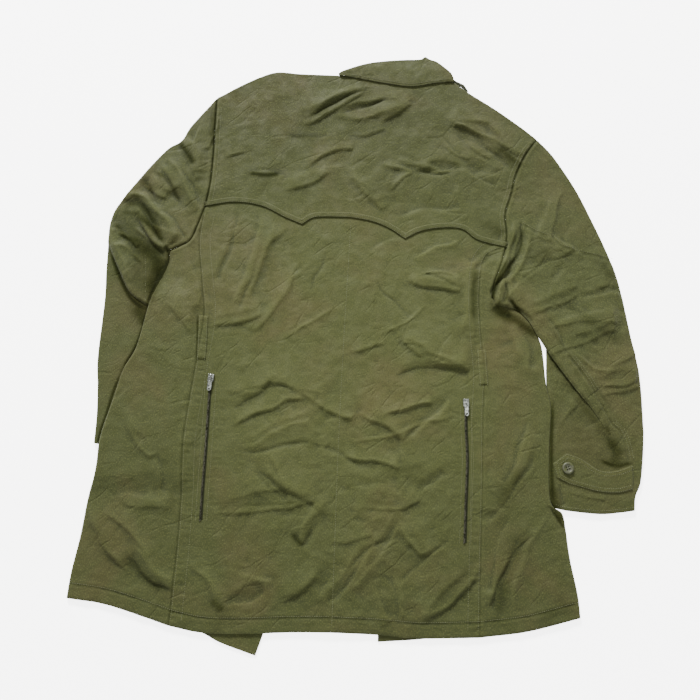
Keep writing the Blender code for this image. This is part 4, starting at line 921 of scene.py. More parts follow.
def node(tree, kind, inputs=None, **settings):
    """A new node with its settings and inputs."""
    made = tree.nodes.new(kind)
    for key, value in settings.items():
        setattr(made, key, value)
    fill(made, inputs or {})
    return made


def new_material(name):
    """A new material, its node tree, its shader and the object's own coordinates."""
    finish = bpy.data.materials.new(name)
    finish.use_nodes = True
    tree = finish.node_tree
    return finish, tree, tree.nodes["Principled BSDF"], node(tree, "ShaderNodeTexCoord").outputs["Object"]


def mixed(tree, factor, first, second, blend="MIX"):
    """Two colours mixed or multiplied."""
    return node(tree, "ShaderNodeMix", {0: factor, 6: first, 7: second}, data_type="RGBA", blend_type=blend,
                clamp_factor=True).outputs[2]


def spread(tree, value, low, high, out_low=0.0, out_high=1.0):
    """A value that runs smoothly from out_low at low to out_high at high."""
    return node(tree, "ShaderNodeMapRange", {"Value": value, "From Min": low, "From Max": high, "To Min": out_low,
                                             "To Max": out_high}, interpolation_type="SMOOTHSTEP").outputs["Result"]


def noise(tree, place, scale, detail=3.0, rough=0.55, distortion=0.0):
    """Cloudy noise, with its scale in clouds per metre."""
    return node(tree, "ShaderNodeTexNoise", {"Vector": place, "Scale": scale, "Detail": detail, "Roughness": rough,
                                             "Distortion": distortion}).outputs["Fac"]


def mapped(tree, place, kind="POINT", **inputs):
    """Coordinates that are moved, turned or scaled."""
    return node(tree, "ShaderNodeMapping", dict(inputs, Vector=place), vector_type=kind).outputs["Vector"]


def maths(tree, operation, first, second):
    """What a sum of two values comes to."""
    return node(tree, "ShaderNodeMath", {0: first, 1: second}, operation=operation).outputs["Value"]


def bumped(tree, height, strength, distance, **normal):
    """A normal for a bump that is the distance high, in metres."""
    return node(tree, "ShaderNodeBump", dict(normal, Strength=strength, Distance=distance,
                                             Height=height)).outputs["Normal"]


def pressed_lines(tree, place):
    """Fine pressed-in creases between small facets: their height for a bump, and the painted shade in each line."""
    height = 0.0
    for scale, turn, width, share in FINE_CREASES:
        warp = node(tree, "ShaderNodeTexNoise", {"Vector": place, "Scale": 0.8 * scale, "Detail": 2.0})
        bent = node(tree, "ShaderNodeMix", {0: 0.35 / scale, 4: place, 5: warp.outputs["Color"]},
                    data_type="VECTOR").outputs[1]
        facets = mapped(tree, bent, "TEXTURE", Rotation=(0.0, 0.0, math.radians(turn)), Scale=(1.0, 0.42, 1.0))
        edge = node(tree, "ShaderNodeTexVoronoi", {"Vector": facets, "Scale": scale}, feature="DISTANCE_TO_EDGE")
        there = spread(tree, noise(tree, place, 1.5 * scale, 1.0), 0.50, 0.62, 0.0, share)
        groove = spread(tree, edge.outputs["Distance"], 0.0, width, 1.0, 0.0)
        height = maths(tree, "MAXIMUM", height, maths(tree, "MULTIPLY", groove, there))
    return maths(tree, "SUBTRACT", 1.0, height), spread(tree, height, 0.0, 1.0, 0.0, 0.34)


def cloth_material(name, light, mid, dark, brown, ridge_highlight_and_wear=1.0):
    """Olive cotton sateen: painted highlight and wear on ridges, painted shade in troughs, brownish and greenish
    patches, a fine twill.
    """
    finish, tree, shader, place = new_material(name)
    light, mid, dark, brown = (linear(code) for code in (light, mid, dark, brown))
    cut = node(tree, "ShaderNodeUVMap", uv_map="cut").outputs["UV"]
    relief, shade = (node(tree, "ShaderNodeAttribute", attribute_name=key).outputs["Fac"]
                     for key in ("relief", "shade"))
    mottle = noise(tree, place, 60.0, 4.0, 0.6)
    base = mixed(tree, spread(tree, noise(tree, place, 7.0, 3.0, 0.6, 0.6), 0.42, 0.76), mid, brown)
    base = mixed(tree, spread(tree, mottle, 0.34, 0.72, 0.0, 0.18), base, dark)
    # Painted highlight and wear on the crease ridges; painted shade in the troughs
    base = mixed(tree, spread(tree, relief, 0.1, 1.2, 0.0, 0.25 * ridge_highlight_and_wear), base, light)
    base = mixed(tree, spread(tree, relief, -0.1, -1.2, 0.0, 0.55), base, dark)
    lines, depth = pressed_lines(tree, place)
    # Painted shade in the fine crease lines
    base = mixed(tree, depth, base, dark)
    # Painted light falloff: the back's middle is painted brightest; it darkens towards the hem, the sleeves and the
    # shoulders
    middle = mapped(tree, place, Location=(0.0, 0.12, 0.0), Scale=(2.8, 2.8, 0.0))
    away = node(tree, "ShaderNodeVectorMath", {0: middle}, operation="LENGTH").outputs["Value"]
    base = mixed(tree, spread(tree, away, 0.3, 1.05), base, PAINTED_FALLOFF_TINT, "MULTIPLY")
    up = node(tree, "ShaderNodeSeparateXYZ", {"Vector": place}).outputs["Y"]
    base = mixed(tree, spread(tree, up, 0.14, 0.38), base, PAINTED_SHOULDER_SHADE_TINT, "MULTIPLY")
    # Slubs and washed specks, drawn about three times as coarse as the thread so that a pixel holds them
    specks = noise(tree, mapped(tree, cut, Scale=(760.0, 420.0, 1.0)), 1.0, 2.0)
    base = mixed(tree, spread(tree, specks, 0.50, 0.70, 0.0, 0.75), base, light)
    base = mixed(tree, spread(tree, specks, 0.50, 0.30, 0.0, 0.62), base, dark)
    # Painted shade in the hollows, the fold lines and along the seams
    base = mixed(tree, shade, base, PAINTED_SHADE_TINT, "MULTIPLY")
    # The twill's ribs: 0.35 mm in the cloth, drawn 1.2 mm apart
    ribs = node(tree, "ShaderNodeTexWave", {
        "Vector": mapped(tree, cut, Rotation=(0.0, 0.0, math.radians(62.0))), "Scale": 260.0, "Distortion": 1.4,
        "Detail": 2.0, "Detail Scale": 2.0}).outputs["Fac"]
    normal = bumped(tree, ribs, 0.22, 0.0004)
    normal = bumped(tree, noise(tree, place, 130.0, 4.0, 0.55), 0.4, 0.0014, Normal=normal)
    normal = bumped(tree, lines, 0.8, 0.0016, Normal=normal)
    # Sheen and specular fade where shade is painted, so that the painted hollows stay dark
    fill(shader, {"Base Color": base, "Normal": normal, "Roughness": spread(tree, mottle, 0.3, 0.7, 0.74, 0.9),
                  "Sheen Weight": spread(tree, shade, 0.0, 0.6, 0.05, 0.0), "Sheen Roughness": 0.5,
                  "Specular IOR Level": spread(tree, shade, 0.0, 0.8, 0.15, 0.03)})
    return finish


def thread_material(name, colour):
    """Matt sewing thread, a little paler than the cloth and uneven along its run."""
    finish, tree, shader, place = new_material(name)
    uneven = spread(tree, noise(tree, place, 160.0, 3.0), 0.35, 0.65)
    paler = tuple(min(1.0, 1.35 * part) for part in linear(colour)[:3]) + (1.0,)
    fill(shader, {"Base Color": mixed(tree, uneven, linear(colour), paler), "Roughness": 0.7,
                  "Normal": bumped(tree, noise(tree, place, 2500.0), 0.3, 0.0002)})
    return finish


def metal_material(name, colour, tarnish, rough):
    """Cast zip metal: bright where it is handled, duller and darker in its pits."""
    finish, tree, shader, place = new_material(name)
    grime = noise(tree, place, 330.0, 4.0, 0.6)
    base = mixed(tree, spread(tree, grime, 0.44, 0.62, 0.0, 0.85), linear(colour), linear(tarnish))
    fill(shader, {"Base Color": base, "Roughness": spread(tree, grime, 0.35, 0.7, rough, rough + 0.25),
                  "Normal": bumped(tree, grime, 0.25, 0.0002), "Metallic": 1.0})
    return finish


def tape_material(name, colour, edge):
    """Woven zip tape: fine cross ribs on dark polyester."""
    finish, tree, shader, place = new_material(name)
    ribs = node(tree, "ShaderNodeTexWave", {"Vector": place, "Scale": 300.0, "Distortion": 1.0},
                bands_direction="Y").outputs["Fac"]
    fill(shader, {"Base Color": mixed(tree, spread(tree, ribs, 0.2, 0.8), linear(colour), linear(edge)),
                  "Normal": bumped(tree, ribs, 0.4, 0.0003), "Roughness": 0.9, "Specular IOR Level": 0.1})
    return finish


def button_material(name, colour, dark):
    """Moulded plastic with a faint cloudy grain and a soft gloss."""
    finish, tree, shader, place = new_material(name)
    cloud = noise(tree, place, 260.0, 3.0, 0.6)
    fill(shader, {"Base Color": mixed(tree, spread(tree, cloud, 0.4, 0.7), linear(colour), linear(dark)),
                  "Roughness": spread(tree, cloud, 0.3, 0.7, 0.36, 0.52), "Specular IOR Level": 0.25,
                  "Normal": bumped(tree, noise(tree, place, 1500.0), 0.15, 0.0002)})
    return finish


def floor_material(name, colour):
    """White paper, lit from behind as well so that it renders nearly white as in the photograph."""
    finish, tree, shader, place = new_material(name)
    faint = spread(tree, noise(tree, place, 3.0, 2.0), 0.3, 0.7, 0.0, 0.02)
    fill(shader, {"Base Color": mixed(tree, faint, linear(colour), (0.8, 0.8, 0.8, 1.0)), "Roughness": 0.9,
                  "Emission Color": (1.0, 1.0, 1.0, 1.0), "Emission Strength": FLOOR_GLOW})
    return finish


def finish_named(name):
    """One of the parka's materials, made the first time that it is asked for."""
    if name in bpy.data.materials:
        return bpy.data.materials[name]
    look = bpy.context.scene.parka_look
    if name == "olive_sateen":
        return cloth_material(name, look.shell_light, look.shell_mid, look.shell_dark, look.shell_brown)
    if name == "olive_sateen_shade":
        return cloth_material(name, look.shell_mid, look.inside, look.shell_dark, look.inside, ridge_highlight_and_wear=0.5)
    if name == "olive_thread":
        return thread_material(name, look.thread)
    if name == "zip_alloy_bright":
        return metal_material(name, look.metal, look.metal_dark, 0.24)
    if name == "zip_teeth_oxidised":
        return metal_material(name, look.teeth, look.tape, 0.42)
    if name == "zip_tape_dark":
        return tape_material(name, look.tape, look.inside)
    return button_material(name, look.button, look.shell_mid)


# Geometry Nodes: stitches and zip teeth

def new_tree(name, *sizes):
    """A Geometry Nodes tree with the named sizes and a material as its inputs."""
    tree = bpy.data.node_groups.new(name, "GeometryNodeTree")
    tree.interface.new_socket("Geometry", in_out="INPUT", socket_type="NodeSocketGeometry")
    tree.interface.new_socket("Geometry", in_out="OUTPUT", socket_type="NodeSocketGeometry")
    for size in sizes:
        tree.interface.new_socket(size, in_out="INPUT", socket_type="NodeSocketFloat")
    tree.interface.new_socket("Material", in_out="INPUT", socket_type="NodeSocketMaterial")
    return tree, tree.nodes.new("NodeGroupInput").outputs, tree.nodes.new("NodeGroupOutput")


def ended(tree, given, out, copies):
    """The tree with its copies made real, in the given material."""
    real = node(tree, "GeometryNodeRealizeInstances", {"Geometry": copies})
    done = node(tree, "GeometryNodeSetMaterial", {"Geometry": real.outputs["Geometry"],
                                                  "Material": given["Material"]})
    fill(out, {"Geometry": done.outputs["Geometry"]})
    return tree


def spaced_points(tree, given):
    """The paths as curves of evenly spaced points, and the turn that follows each path."""
    curve = node(tree, "GeometryNodeMeshToCurve", {"Mesh": given["Geometry"]})
    even = node(tree, "GeometryNodeResampleCurve", {"Curve": curve.outputs["Curve"], "Length": given["Pitch"]},
                mode="LENGTH")
    tangent = node(tree, "GeometryNodeInputTangent")
    turn = node(tree, "FunctionNodeAlignRotationToVector", {"Vector": tangent.outputs["Tangent"]}, axis="X")
    return {"Points": even.outputs["Curve"], "Rotation": turn.outputs["Rotation"]}


def stitch_tree():
    """Short plump stitches spaced along each path."""
    tree, given, out = new_tree("stitch_rows", "Pitch", "Length", "Thickness")
    points = spaced_points(tree, given)
    grain = node(tree, "GeometryNodeMeshUVSphere", {"Segments": 6, "Rings": 4, "Radius": 0.5})
    size = node(tree, "ShaderNodeCombineXYZ", {"X": given["Length"], "Y": given["Thickness"],
                                               "Z": given["Thickness"]})
    shaped = node(tree, "GeometryNodeTransform", {"Geometry": grain.outputs["Mesh"], "Scale": size.outputs["Vector"]})
    uneven = node(tree, "FunctionNodeRandomValue", {"Seed": 7, 2: 0.82, 3: 1.12}, data_type="FLOAT")
    copies = node(tree, "GeometryNodeInstanceOnPoints", dict(points, Instance=shaped.outputs["Geometry"],
                                                            Scale=uneven.outputs[1]))
    return ended(tree, given, out, copies.outputs["Instances"])


def teeth_tree():
    """Two rows of zip teeth, half a pitch apart, that mesh along the path."""
    tree, given, out = new_tree("zip_teeth", "Pitch", "Width", "Thickness")
    points = spaced_points(tree, given)
    size = node(tree, "ShaderNodeCombineXYZ", {"X": maths(tree, "MULTIPLY", given["Pitch"], TOOTH_SHARE),
                                               "Y": given["Width"], "Z": given["Thickness"]})
    block = node(tree, "GeometryNodeMeshCube", {"Size": size.outputs["Vector"]})
    both = node(tree, "GeometryNodeJoinGeometry")
    for pitches, widths in ((0.0, TOOTH_OFFSET), (0.5, -TOOTH_OFFSET)):
        place = node(tree, "ShaderNodeCombineXYZ", {"X": maths(tree, "MULTIPLY", given["Pitch"], pitches),
                                                    "Y": maths(tree, "MULTIPLY", given["Width"], widths)})
        tooth = node(tree, "GeometryNodeTransform", {"Geometry": block.outputs["Mesh"],
                                                     "Translation": place.outputs["Vector"]})
        row = node(tree, "GeometryNodeInstanceOnPoints", dict(points, Instance=tooth.outputs["Geometry"]))
        fill(both, {"Geometry": row.outputs["Instances"]})
    return ended(tree, given, out, both.outputs["Geometry"])


def along_paths(name, tree, paths, sizes, finish):
    """What the tree puts along the paths, as one plain mesh piece."""
    points = []
    edges = []
    for path in paths:
        start = len(points)
        points += (path * MM).tolist()
        edges += [(start + step, start + step + 1) for step in range(len(path) - 1)]
    mesh = bpy.data.meshes.new(name + "_paths")
    mesh.from_pydata(points, edges, [])
    carrier = linked(name + "_paths", mesh)
    change = carrier.modifiers.new("rows", "NODES")
    change.node_group = tree
    keys = {item.name: item.identifier for item in tree.interface.items_tree if item.in_out == "INPUT"}
    for key, value in dict(sizes, Material=finish_named(finish)).items():
        change[keys[key]] = value
    mesh = baked(carrier)
    mesh.name = name
    mesh.shade_smooth()
    new_piece(name, mesh)


def laid(line, height, lift):
    """A line of the plan laid on the cloth."""
    return np.column_stack([line, height(line) + lift])


def spread_line(points, pitch=2.5):
    """A smooth line through the points, finely divided."""
    rough = np.linalg.norm(np.diff(np.array(points, float), axis=0), axis=1).sum()
    return spline(points, max(int(rough / pitch), 2))


# Lines shared by several pieces

YOKE_LEFT = joined(spline(YOKE_EDGE_1, 64), spline(YOKE_EDGE_2, 32))
YOKE_RIGHT = joined(spline(YOKE_EDGE_3, 40), spline(YOKE_EDGE_4, 56))
YOKE_LINE = joined(YOKE_LEFT, YOKE_RIGHT)
NECK_LINE = spline(SHOULDER, len(YOKE_LINE) - 1)
ARMHOLE_LEFT = joined(spline(ARMHOLE_LEFT_LOWER, 40)[::-1], spline(ARMHOLE_LEFT_UPPER, 80))
ARMHOLE_RIGHT = joined(spline(ARMHOLE_RIGHT_LOWER, 40)[::-1], spline(ARMHOLE_RIGHT_UPPER, 80))
FOLD_LEFT_LINE = joined(spline(ELBOW_LEFT, 6), spline(FOLD_LEFT, 50))
FOLD_RIGHT_LINE = joined(spline(FOLD_RIGHT_FREE, 96), spline(FOLD_RIGHT_SEWN, 24))
PRINCESS_LEFT_LINE = spline(PRINCESS_LEFT, 256)
PRINCESS_RIGHT_LINE = spline(PRINCESS_RIGHT, 256)
CENTRE_LINE = spline(CENTRE_BACK, 256)
TAB_TIP_LINE = spaced(np.array(TAB_TIP[:2], float), 20)
TAB_UPPER_LINE = spaced(joined(np.array(TAB_TIP[1:], float), spline(TAB_TOP, 50)), 60)
TAB_LOWER_LINE = spaced(joined(np.array(TAB_BASE[:2], float), spline(TAB_BASE[1:], 50)), 60)
ZIP_LEFT_LINE = spline(ZIP_LEFT, 60)
ZIP_RIGHT_LINE = spline(ZIP_RIGHT, 60)
CALM_LINES = (
    # line, half width with no fold at all, width over which folds come back
    (YOKE_LINE[::4], 5.0, 24.0),
    (NECK_LINE[64:176:4], 6.0, 30.0),
    (ZIP_LEFT_LINE[::12], 9.0, 16.0),
    (ZIP_RIGHT_LINE[::12], 9.0, 16.0),
    (spline(STRIP_LEFT, 4), 9.0, 14.0),
    (spline(STRIP_RIGHT, 4), 9.0, 14.0),
    (spline(((290, -212), (395, -224)), 2), 20.0, 14.0),
)
HEM_LINES = [shifted(spread_line(hem), HEM_WIDTH)
             for hem in (HEM_BACK_LEFT, HEM_BACK_RIGHT, HEM_SIDE_RIGHT, HEM_SIDE_LEFT)]
# Painted shade along the sewn-in seams, the yoke's band and the hems, where their grooves and edges cast shade
PAINTED_SEAM_SHADE = (
    # line, half width, strength
    (ARMHOLE_LEFT[::3], 1.3, 0.75),
    (ARMHOLE_RIGHT[::3], 1.2, 0.60),
    (YOKE_LINE[::2], 1.8, 0.45),
    (PRINCESS_LEFT_LINE[::6], 1.0, 0.35),
    (PRINCESS_RIGHT_LINE[::6], 1.0, 0.20),
) + tuple((line[::3], 1.8, 0.30) for line in HEM_LINES)
PUCKERS = (
    # line, from and to which distance to its right, depth
    (PRINCESS_LEFT_LINE[:180], 2.0, 18.0, 0.45),
    (PRINCESS_RIGHT_LINE[:190], -18.0, -2.0, 0.55),
    (ZIP_LEFT_LINE, 8.0, 25.0, 0.50),
    (ZIP_RIGHT_LINE, -22.0, -8.0, 0.30),
    (CENTRE_LINE[:120], -12.0, 12.0, 0.30),
)
BODY_SEAMS = (
    # line, depth of the groove, height of the gathers
    (PRINCESS_LEFT_LINE[::6], 0.50, 0.20),
    (PRINCESS_RIGHT_LINE[::6], 0.45, 0.20),
    (CENTRE_LINE[::6], 0.08, 0.10),
    (ARMHOLE_LEFT[::4], 1.5, 0.30),
    (ARMHOLE_RIGHT[::4], 1.3, 0.30),
) + tuple((line[::3], 0.6, 0.25) for line in HEM_LINES)
SLEEVE_LEFT_SEAMS = (
    (ARMHOLE_LEFT[::4], 1.5, 0.30),
    (spread_line(SLEEVE_SEAM_LEFT, 6.0), 0.5, 0.15),
)
SLEEVE_RIGHT_SEAMS = (
    (ARMHOLE_RIGHT[::4], 1.3, 0.30),
    (spread_line(SLEEVE_SEAM_UPPER, 6.0), 0.8, 0.30),
    (spread_line(SLEEVE_SEAM_LOWER, 6.0), 0.8, 0.30),
)
ZIPS = (
    # side, line, strip above it
    ("left", ZIP_LEFT_LINE, STRIP_LEFT),
    ("right", ZIP_RIGHT_LINE, STRIP_RIGHT),
)


# Property groups

def colour_property(name, description, default):
    return StringProperty(name=name, description=description, default=default, maxlen=7)


def size_property(name, description, default, least, most):
    """A size in metres."""
    return FloatProperty(name=name, description=description, default=default, min=least, max=most, unit="LENGTH")


class ParkaLook(bpy.types.PropertyGroup):
    """The colours of the parka, as sRGB hex codes."""
    # shell_light is the painted highlight on crease ridges, besides the pale specks
    shell_light: colour_property("Shell, worn", "Washed ridges and edges of the olive cloth", "#434624")
    shell_mid: colour_property("Shell", "Most of the olive cloth", "#34381a")
    # shell_dark is the painted shade in troughs and fine crease lines, besides the darker mottling and specks
    shell_dark: colour_property("Shell, deep", "Troughs and seams of the olive cloth", "#242812")
    shell_brown: colour_property("Shell, faded", "Patches where the dye has turned brownish", "#3c391e")
    inside: colour_property("Inside", "Cloth that lies in shade", "#22250f")
    thread: colour_property("Thread", "Topstitching", "#41442a")
    tape: colour_property("Zip tape", "Tape and hollows between the teeth", "#11120d")
    teeth: colour_property("Zip teeth", "Oxidised teeth", "#4a493f")
    metal: colour_property("Zip metal", "Sliders and pulls", "#858881")
    metal_dark: colour_property("Zip metal, dull", "Tarnish on the sliders and pulls", "#3a3b39")
    button: colour_property("Button", "Moulded cuff button", "#38392b")
    floor: colour_property("Floor", "The surface that the parka lies on", "#fafaf8")


class ParkaSizes(bpy.types.PropertyGroup):
    """The sizes of the parka's cloth, stitches and teeth."""
    thickness: size_property("Cloth", "Thickness of a panel's cloth", 0.0016, 0.0008, 0.002)
    pitch: size_property("Stitch pitch", "From one stitch to the next", 0.0032, 0.002, 0.006)
    stitch: size_property("Stitch length", "Length of the thread that shows", 0.0024, 0.001, 0.005)
    thread: size_property("Thread", "Thickness of the sewing thread", 0.0007, 0.0004, 0.0015)
    tooth_pitch: size_property("Tooth pitch", "From one tooth to the next in a row", 0.0021, 0.0015, 0.004)
    tooth_width: size_property("Tooth width", "Width of one tooth", 0.0017, 0.0012, 0.004)


# Operators

class PARKA_OT_body(bpy.types.Operator):
    """Builds the yoke, the two backs and the sides that wrap to the underside"""
    bl_idname = "parka.body"
    bl_label = "Yoke, backs and sides"

    def execute(self, context):
        add_panel("back_left", (spline(HEM_BACK_LEFT, 96), YOKE_LEFT, PRINCESS_LEFT_LINE, CENTRE_LINE),
                  back_height, 2.0)
        add_panel("back_right", (spline(HEM_BACK_RIGHT, 96), YOKE_RIGHT, CENTRE_LINE, PRINCESS_RIGHT_LINE),
                  back_height, -3.0)
        armhole = spline(ARMHOLE_LEFT_LOWER, 64)[::-1]
        add_panel("side_left", (spline(HEM_SIDE_LEFT, 64), armhole, spline(SIDE_LEFT, 256), PRINCESS_LEFT_LINE),
                  back_height, 9.0, rolls=[("first", sleeve_lift, BODY_REACH)])
        armhole = joined(spline(ARMHOLE_RIGHT_LOWER, 32), spline(HOOK_RIGHT, 32))
        add_panel("side_right", (spline(HEM_SIDE_RIGHT, 64), armhole, PRINCESS_RIGHT_LINE, spline(SIDE_RIGHT, 256)),
                  back_height, -8.0, rolls=[("last", level_at(0.0), BODY_REACH)])
        armholes = [spline(seam, 104) for seam in (ARMHOLE_LEFT_UPPER, ARMHOLE_RIGHT_UPPER)]
        add_panel("back_yoke", (YOKE_LINE, NECK_LINE, *armholes), back_height, 0.0,
                  hems=(), rolls=[("far", neck_level, SHOULDER_REACH)])
        return {"FINISHED"}


class PARKA_OT_fronts(bpy.types.Operator):
    """Builds the two fronts that lie beneath, with the hem corner that shows"""
    bl_idname = "parka.fronts"
    bl_label = "Fronts"

    def execute(self, context):
        side = shifted(spline(SIDE_LEFT, 100), -FRONT_INSET)
        armhole = spaced(ARMHOLE_LEFT, len(ARMHOLE_LEFT) - 1, 2 * FRONT_INSET, SHOULDER_INSET)
        left = spaced(np.vstack([side, armhole]), 160)
        hem = spline(FRONT_LEFT_HEM, 110)
        top = spline(FRONT_LEFT_TOP, 110)
        left[0], left[-1] = hem[0], top[0]
        add_panel("front_left", (hem, top, left, spline(FRONT_LEFT_EDGE, 160)), front_height, 4.0,
                  hems=())
        add_copied("front_right", "_cloth", "olive_sateen")
        return {"FINISHED"}


class PARKA_OT_sleeves(bpy.types.Operator):
    """Builds both sleeves: upper arms, forearms and their undersides"""
    bl_idname = "parka.sleeves"
    bl_label = "Sleeves"

    def execute(self, context):
        first, last = ((side, level_at(0.0), SLEEVE_REACH) for side in ("first", "last"))
        beside = joined(spline(BESIDE_BODY_LEFT, 64)[::-1], spline(ARMHOLE_LEFT_LOWER, 64)[::-1])
        near = joined(spline(ELBOW_LEFT, 8), spline(FOLD_LEFT, 72))
        far = spline(ARMHOLE_LEFT_UPPER, 80)[::-1]
        add_panel("sleeve_left_upper", (near, far, spline(OUTER_LEFT, 128)[::-1], beside), upper_left_height, 38.0,
                  rolls=[first], rounds=1600)

        far = joined(spline(ELBOW_LEFT, 6), spline(FOREARM_LEFT_TOP, 50))
        sides = [spline(seam, 110) for seam in (FOREARM_LEFT_OUTER, FOREARM_LEFT_INNER)]
        add_panel("sleeve_left_forearm", (spline(CUFF_LEFT, 56), far, *sides), forearm_left_height, 0.0,
                  hems=(), rolls=[first])

        fold = joined(spline(FOLD_RIGHT_FREE, 150), spline(FOLD_RIGHT_SEWN, 50))
        add_panel("sleeve_right_upper", (ARMHOLE_RIGHT, spline(ELBOW_RIGHT, 120), fold, spline(OUTER_RIGHT, 200)),
                  upper_right_height, -35.0, hems=(), rolls=[last],
                  haste=0.5)

        near = joined(spline(FOREARM_RIGHT_TOP, 42), spline(FOLD_RIGHT_SEWN, 22), spline(ELBOW_RIGHT, 22))
        sides = [spline(seam, 100) for seam in (FOREARM_RIGHT_INNER, FOREARM_RIGHT_OUTER)]
        add_panel("sleeve_right_forearm", (near, spline(CUFF_RIGHT, 86), *sides), forearm_right_height, -6.0,
                  hems=("far",), rolls=[last, first])
        for name in ("sleeve_left_front", "sleeve_right_front"):
            add_copied(name, "_cloth", "olive_sateen")
        return {"FINISHED"}


class PARKA_OT_collar(bpy.types.Operator):
    """Builds the turned-down collar: its fall over the yoke and its stand beneath"""
    bl_idname = "parka.collar"
    bl_label = "Collar"

    def execute(self, context):
        share = np.linspace(0.0, 1.0, 15)[:, None]
        fall, fold = spline(COLLAR_FALL, 84), spline(COLLAR_FOLD, 84)
        ends = [fall[end] + (fold[end] - fall[end]) * share for end in (0, -1)]
        add_panel("collar_fall", (fall, fold, *ends), collar_height, 0.0,
                  hems=("near", "first", "last"), drop=COLLAR_DROP, thickness=COLLAR_CLOTH,
                  rolls=[("far", level_at(WALL + GAP), COLLAR_REACH)])
        add_copied("collar_stand", "_cloth", "olive_sateen_shade")
        return {"FINISHED"}


def trim_profile(count, steep=0.12):
    """Across a sewn-on trim: heights from 0 to 1 that turn down at both edges."""
    share = np.linspace(0.0, 1.0, count)
    edge = np.minimum(share, 1.0 - share) / steep
    return np.sqrt(np.clip(1.0 - (1.0 - np.clip(edge, 0.0, 1.0)) ** 2, 0.0, 1.0))


def ribbon(line, first, last, count):
    """The grid of a narrow strip beside a line."""
    return np.stack([shifted(line, step) for step in np.linspace(first, last, count)], axis=1)


def add_trim(name, plan, height, rise, profile):
    """A small piece sewn on a panel, rounded at its edges and seated on the cloth."""
    row = np.arange(len(plan))
    gathers = 0.09 * np.sin(1.9 * row + 1.3 * np.sin(0.4 * row))[:, None]
    level = height(plan) + TRIM_SEAT + (rise + gathers) * profile
    add_sheet(name, np.dstack([plan, level]), "olive_sateen", TRIM_CLOTH)


class PARKA_OT_trims(bpy.types.Operator):
    """Builds the band on the yoke's edge, the strips on the seams and the cuff's tab and button"""
    bl_idname = "parka.trims"
    bl_label = "Band, strips, tab and button"

    def execute(self, context):
        plan = ribbon(YOKE_LINE, -BAND_DROP, BAND_WIDTH - BAND_DROP, 13)
        add_trim("yoke_band", plan, back_height, TRIM, trim_profile(13)[None])
        profile = trim_profile(13)[None] * trim_profile(41, 0.04)[:, None]
        for side, _, strip in ZIPS:
            plan = ribbon(spline(strip, 40), -STRIP_WIDTH / 2.0, STRIP_WIDTH / 2.0, 13)
            add_trim("seam_strip_" + side, plan, back_height, TRIM, profile)
        plan = patch(TAB_LOWER_LINE, TAB_UPPER_LINE, TAB_TIP_LINE, spline(TAB_SEAM, 20))
        profile = trim_profile(21)[:, None] * trim_profile(61, 0.04)[None]
        add_trim("cuff_tab", plan, forearm_right_height, WALL, profile)
        add_button()
        return {"FINISHED"}


def add_button():
    """The cuff's button: a dished face in a raised rim, with four sewn holes."""
    bm = bmesh.new()
    rings = []
    for radius, height in BUTTON_PROFILE:
        angles = [2.0 * math.pi * number / BUTTON_STEPS for number in range(BUTTON_STEPS if radius else 1)]
        rings.append([bm.verts.new((radius * math.cos(angle) * MM, radius * math.sin(angle) * MM, height * MM))
                      for angle in angles])
    for inner, outer in zip(rings, rings[1:]):
        for number in range(BUTTON_STEPS):
            after = (number + 1) % BUTTON_STEPS
            corners = [inner[number % len(inner)], outer[number % len(outer)], outer[after % len(outer)],
                       inner[after % len(inner)]]
            bm.faces.new(list(dict.fromkeys(corners)))
    bmesh.ops.recalc_face_normals(bm, faces=bm.faces[:])
    disc = linked("button_disc", as_mesh(bm, "button_disc"))
    bm = bmesh.new()
    for x in (-BUTTON_HOLE, BUTTON_HOLE):
        for y in (-BUTTON_HOLE, BUTTON_HOLE):
            made = bmesh.ops.create_cone(bm, cap_ends=True, segments=14, radius1=HOLE_RADIUS * MM,
                                         radius2=HOLE_RADIUS * MM, depth=8.0 * MM)
            bmesh.ops.translate(bm, vec=Vector((x, y, 2.0)) * MM, verts=made["verts"])
    holes = linked("button_holes", as_mesh(bm, "button_holes"))
    cut = disc.modifiers.new("holes", "BOOLEAN")
    cut.operation = "DIFFERENCE"
    cut.solver = "EXACT"
    cut.object = holes
    mesh = baked(disc)
    bpy.data.objects.remove(holes, do_unlink=True)
    low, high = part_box("cuff_button")
    centre = (low + high) / 2.0
    seat = Matrix.Translation(Vector((centre.x, centre.y, low.z)))
    mesh.transform(seat @ Matrix.Rotation(math.radians(20.0), 4, "Z"))
    mesh.materials.clear()
    mesh.materials.append(finish_named("button_plastic"))
    mesh.shade_smooth()
    new_piece("cuff_button_moulded", mesh, solid="cuff_button")


class PARKA_OT_zips(bpy.types.Operator):
    """Builds both zips: tape, two rows of teeth, slider and pull"""
    bl_idname = "parka.zips"
    bl_label = "Zips"

    def execute(self, context):
        sizes = context.scene.parka_sizes
        amounts = {"Pitch": sizes.tooth_pitch, "Width": sizes.tooth_width, "Thickness": TOOTH_THICKNESS}
        tree = teeth_tree()
        for side, line, _ in ZIPS:
            plan = ribbon(line, -CHAIN_WIDTH / 2.0, CHAIN_WIDTH / 2.0, 5)
            mesh = grid_mesh("zip_tape_" + side, np.dstack([plan, back_height(plan) + TAPE_SEAT]))
            mesh.materials.append(finish_named("zip_tape_dark"))
            tape = new_piece("zip_tape_" + side, solid_cloth(mesh, TAPE_CLOTH),
                             solid="zip_chain_" + side)
            path = laid(shifted(line, -1.4), back_height, TEETH_LIFT)
            along_paths("zip_teeth_" + side, tree, [path], amounts, "zip_teeth_oxidised")
            for part, body, bevel in (("slider", "garment", 0.0006), ("pull", "pull_" + side, 0.0003)):
                add_copied("zip_%s_%s" % (part, side), "_cast", "zip_alloy_bright", bevel, 3, body)
        return {"FINISHED"}


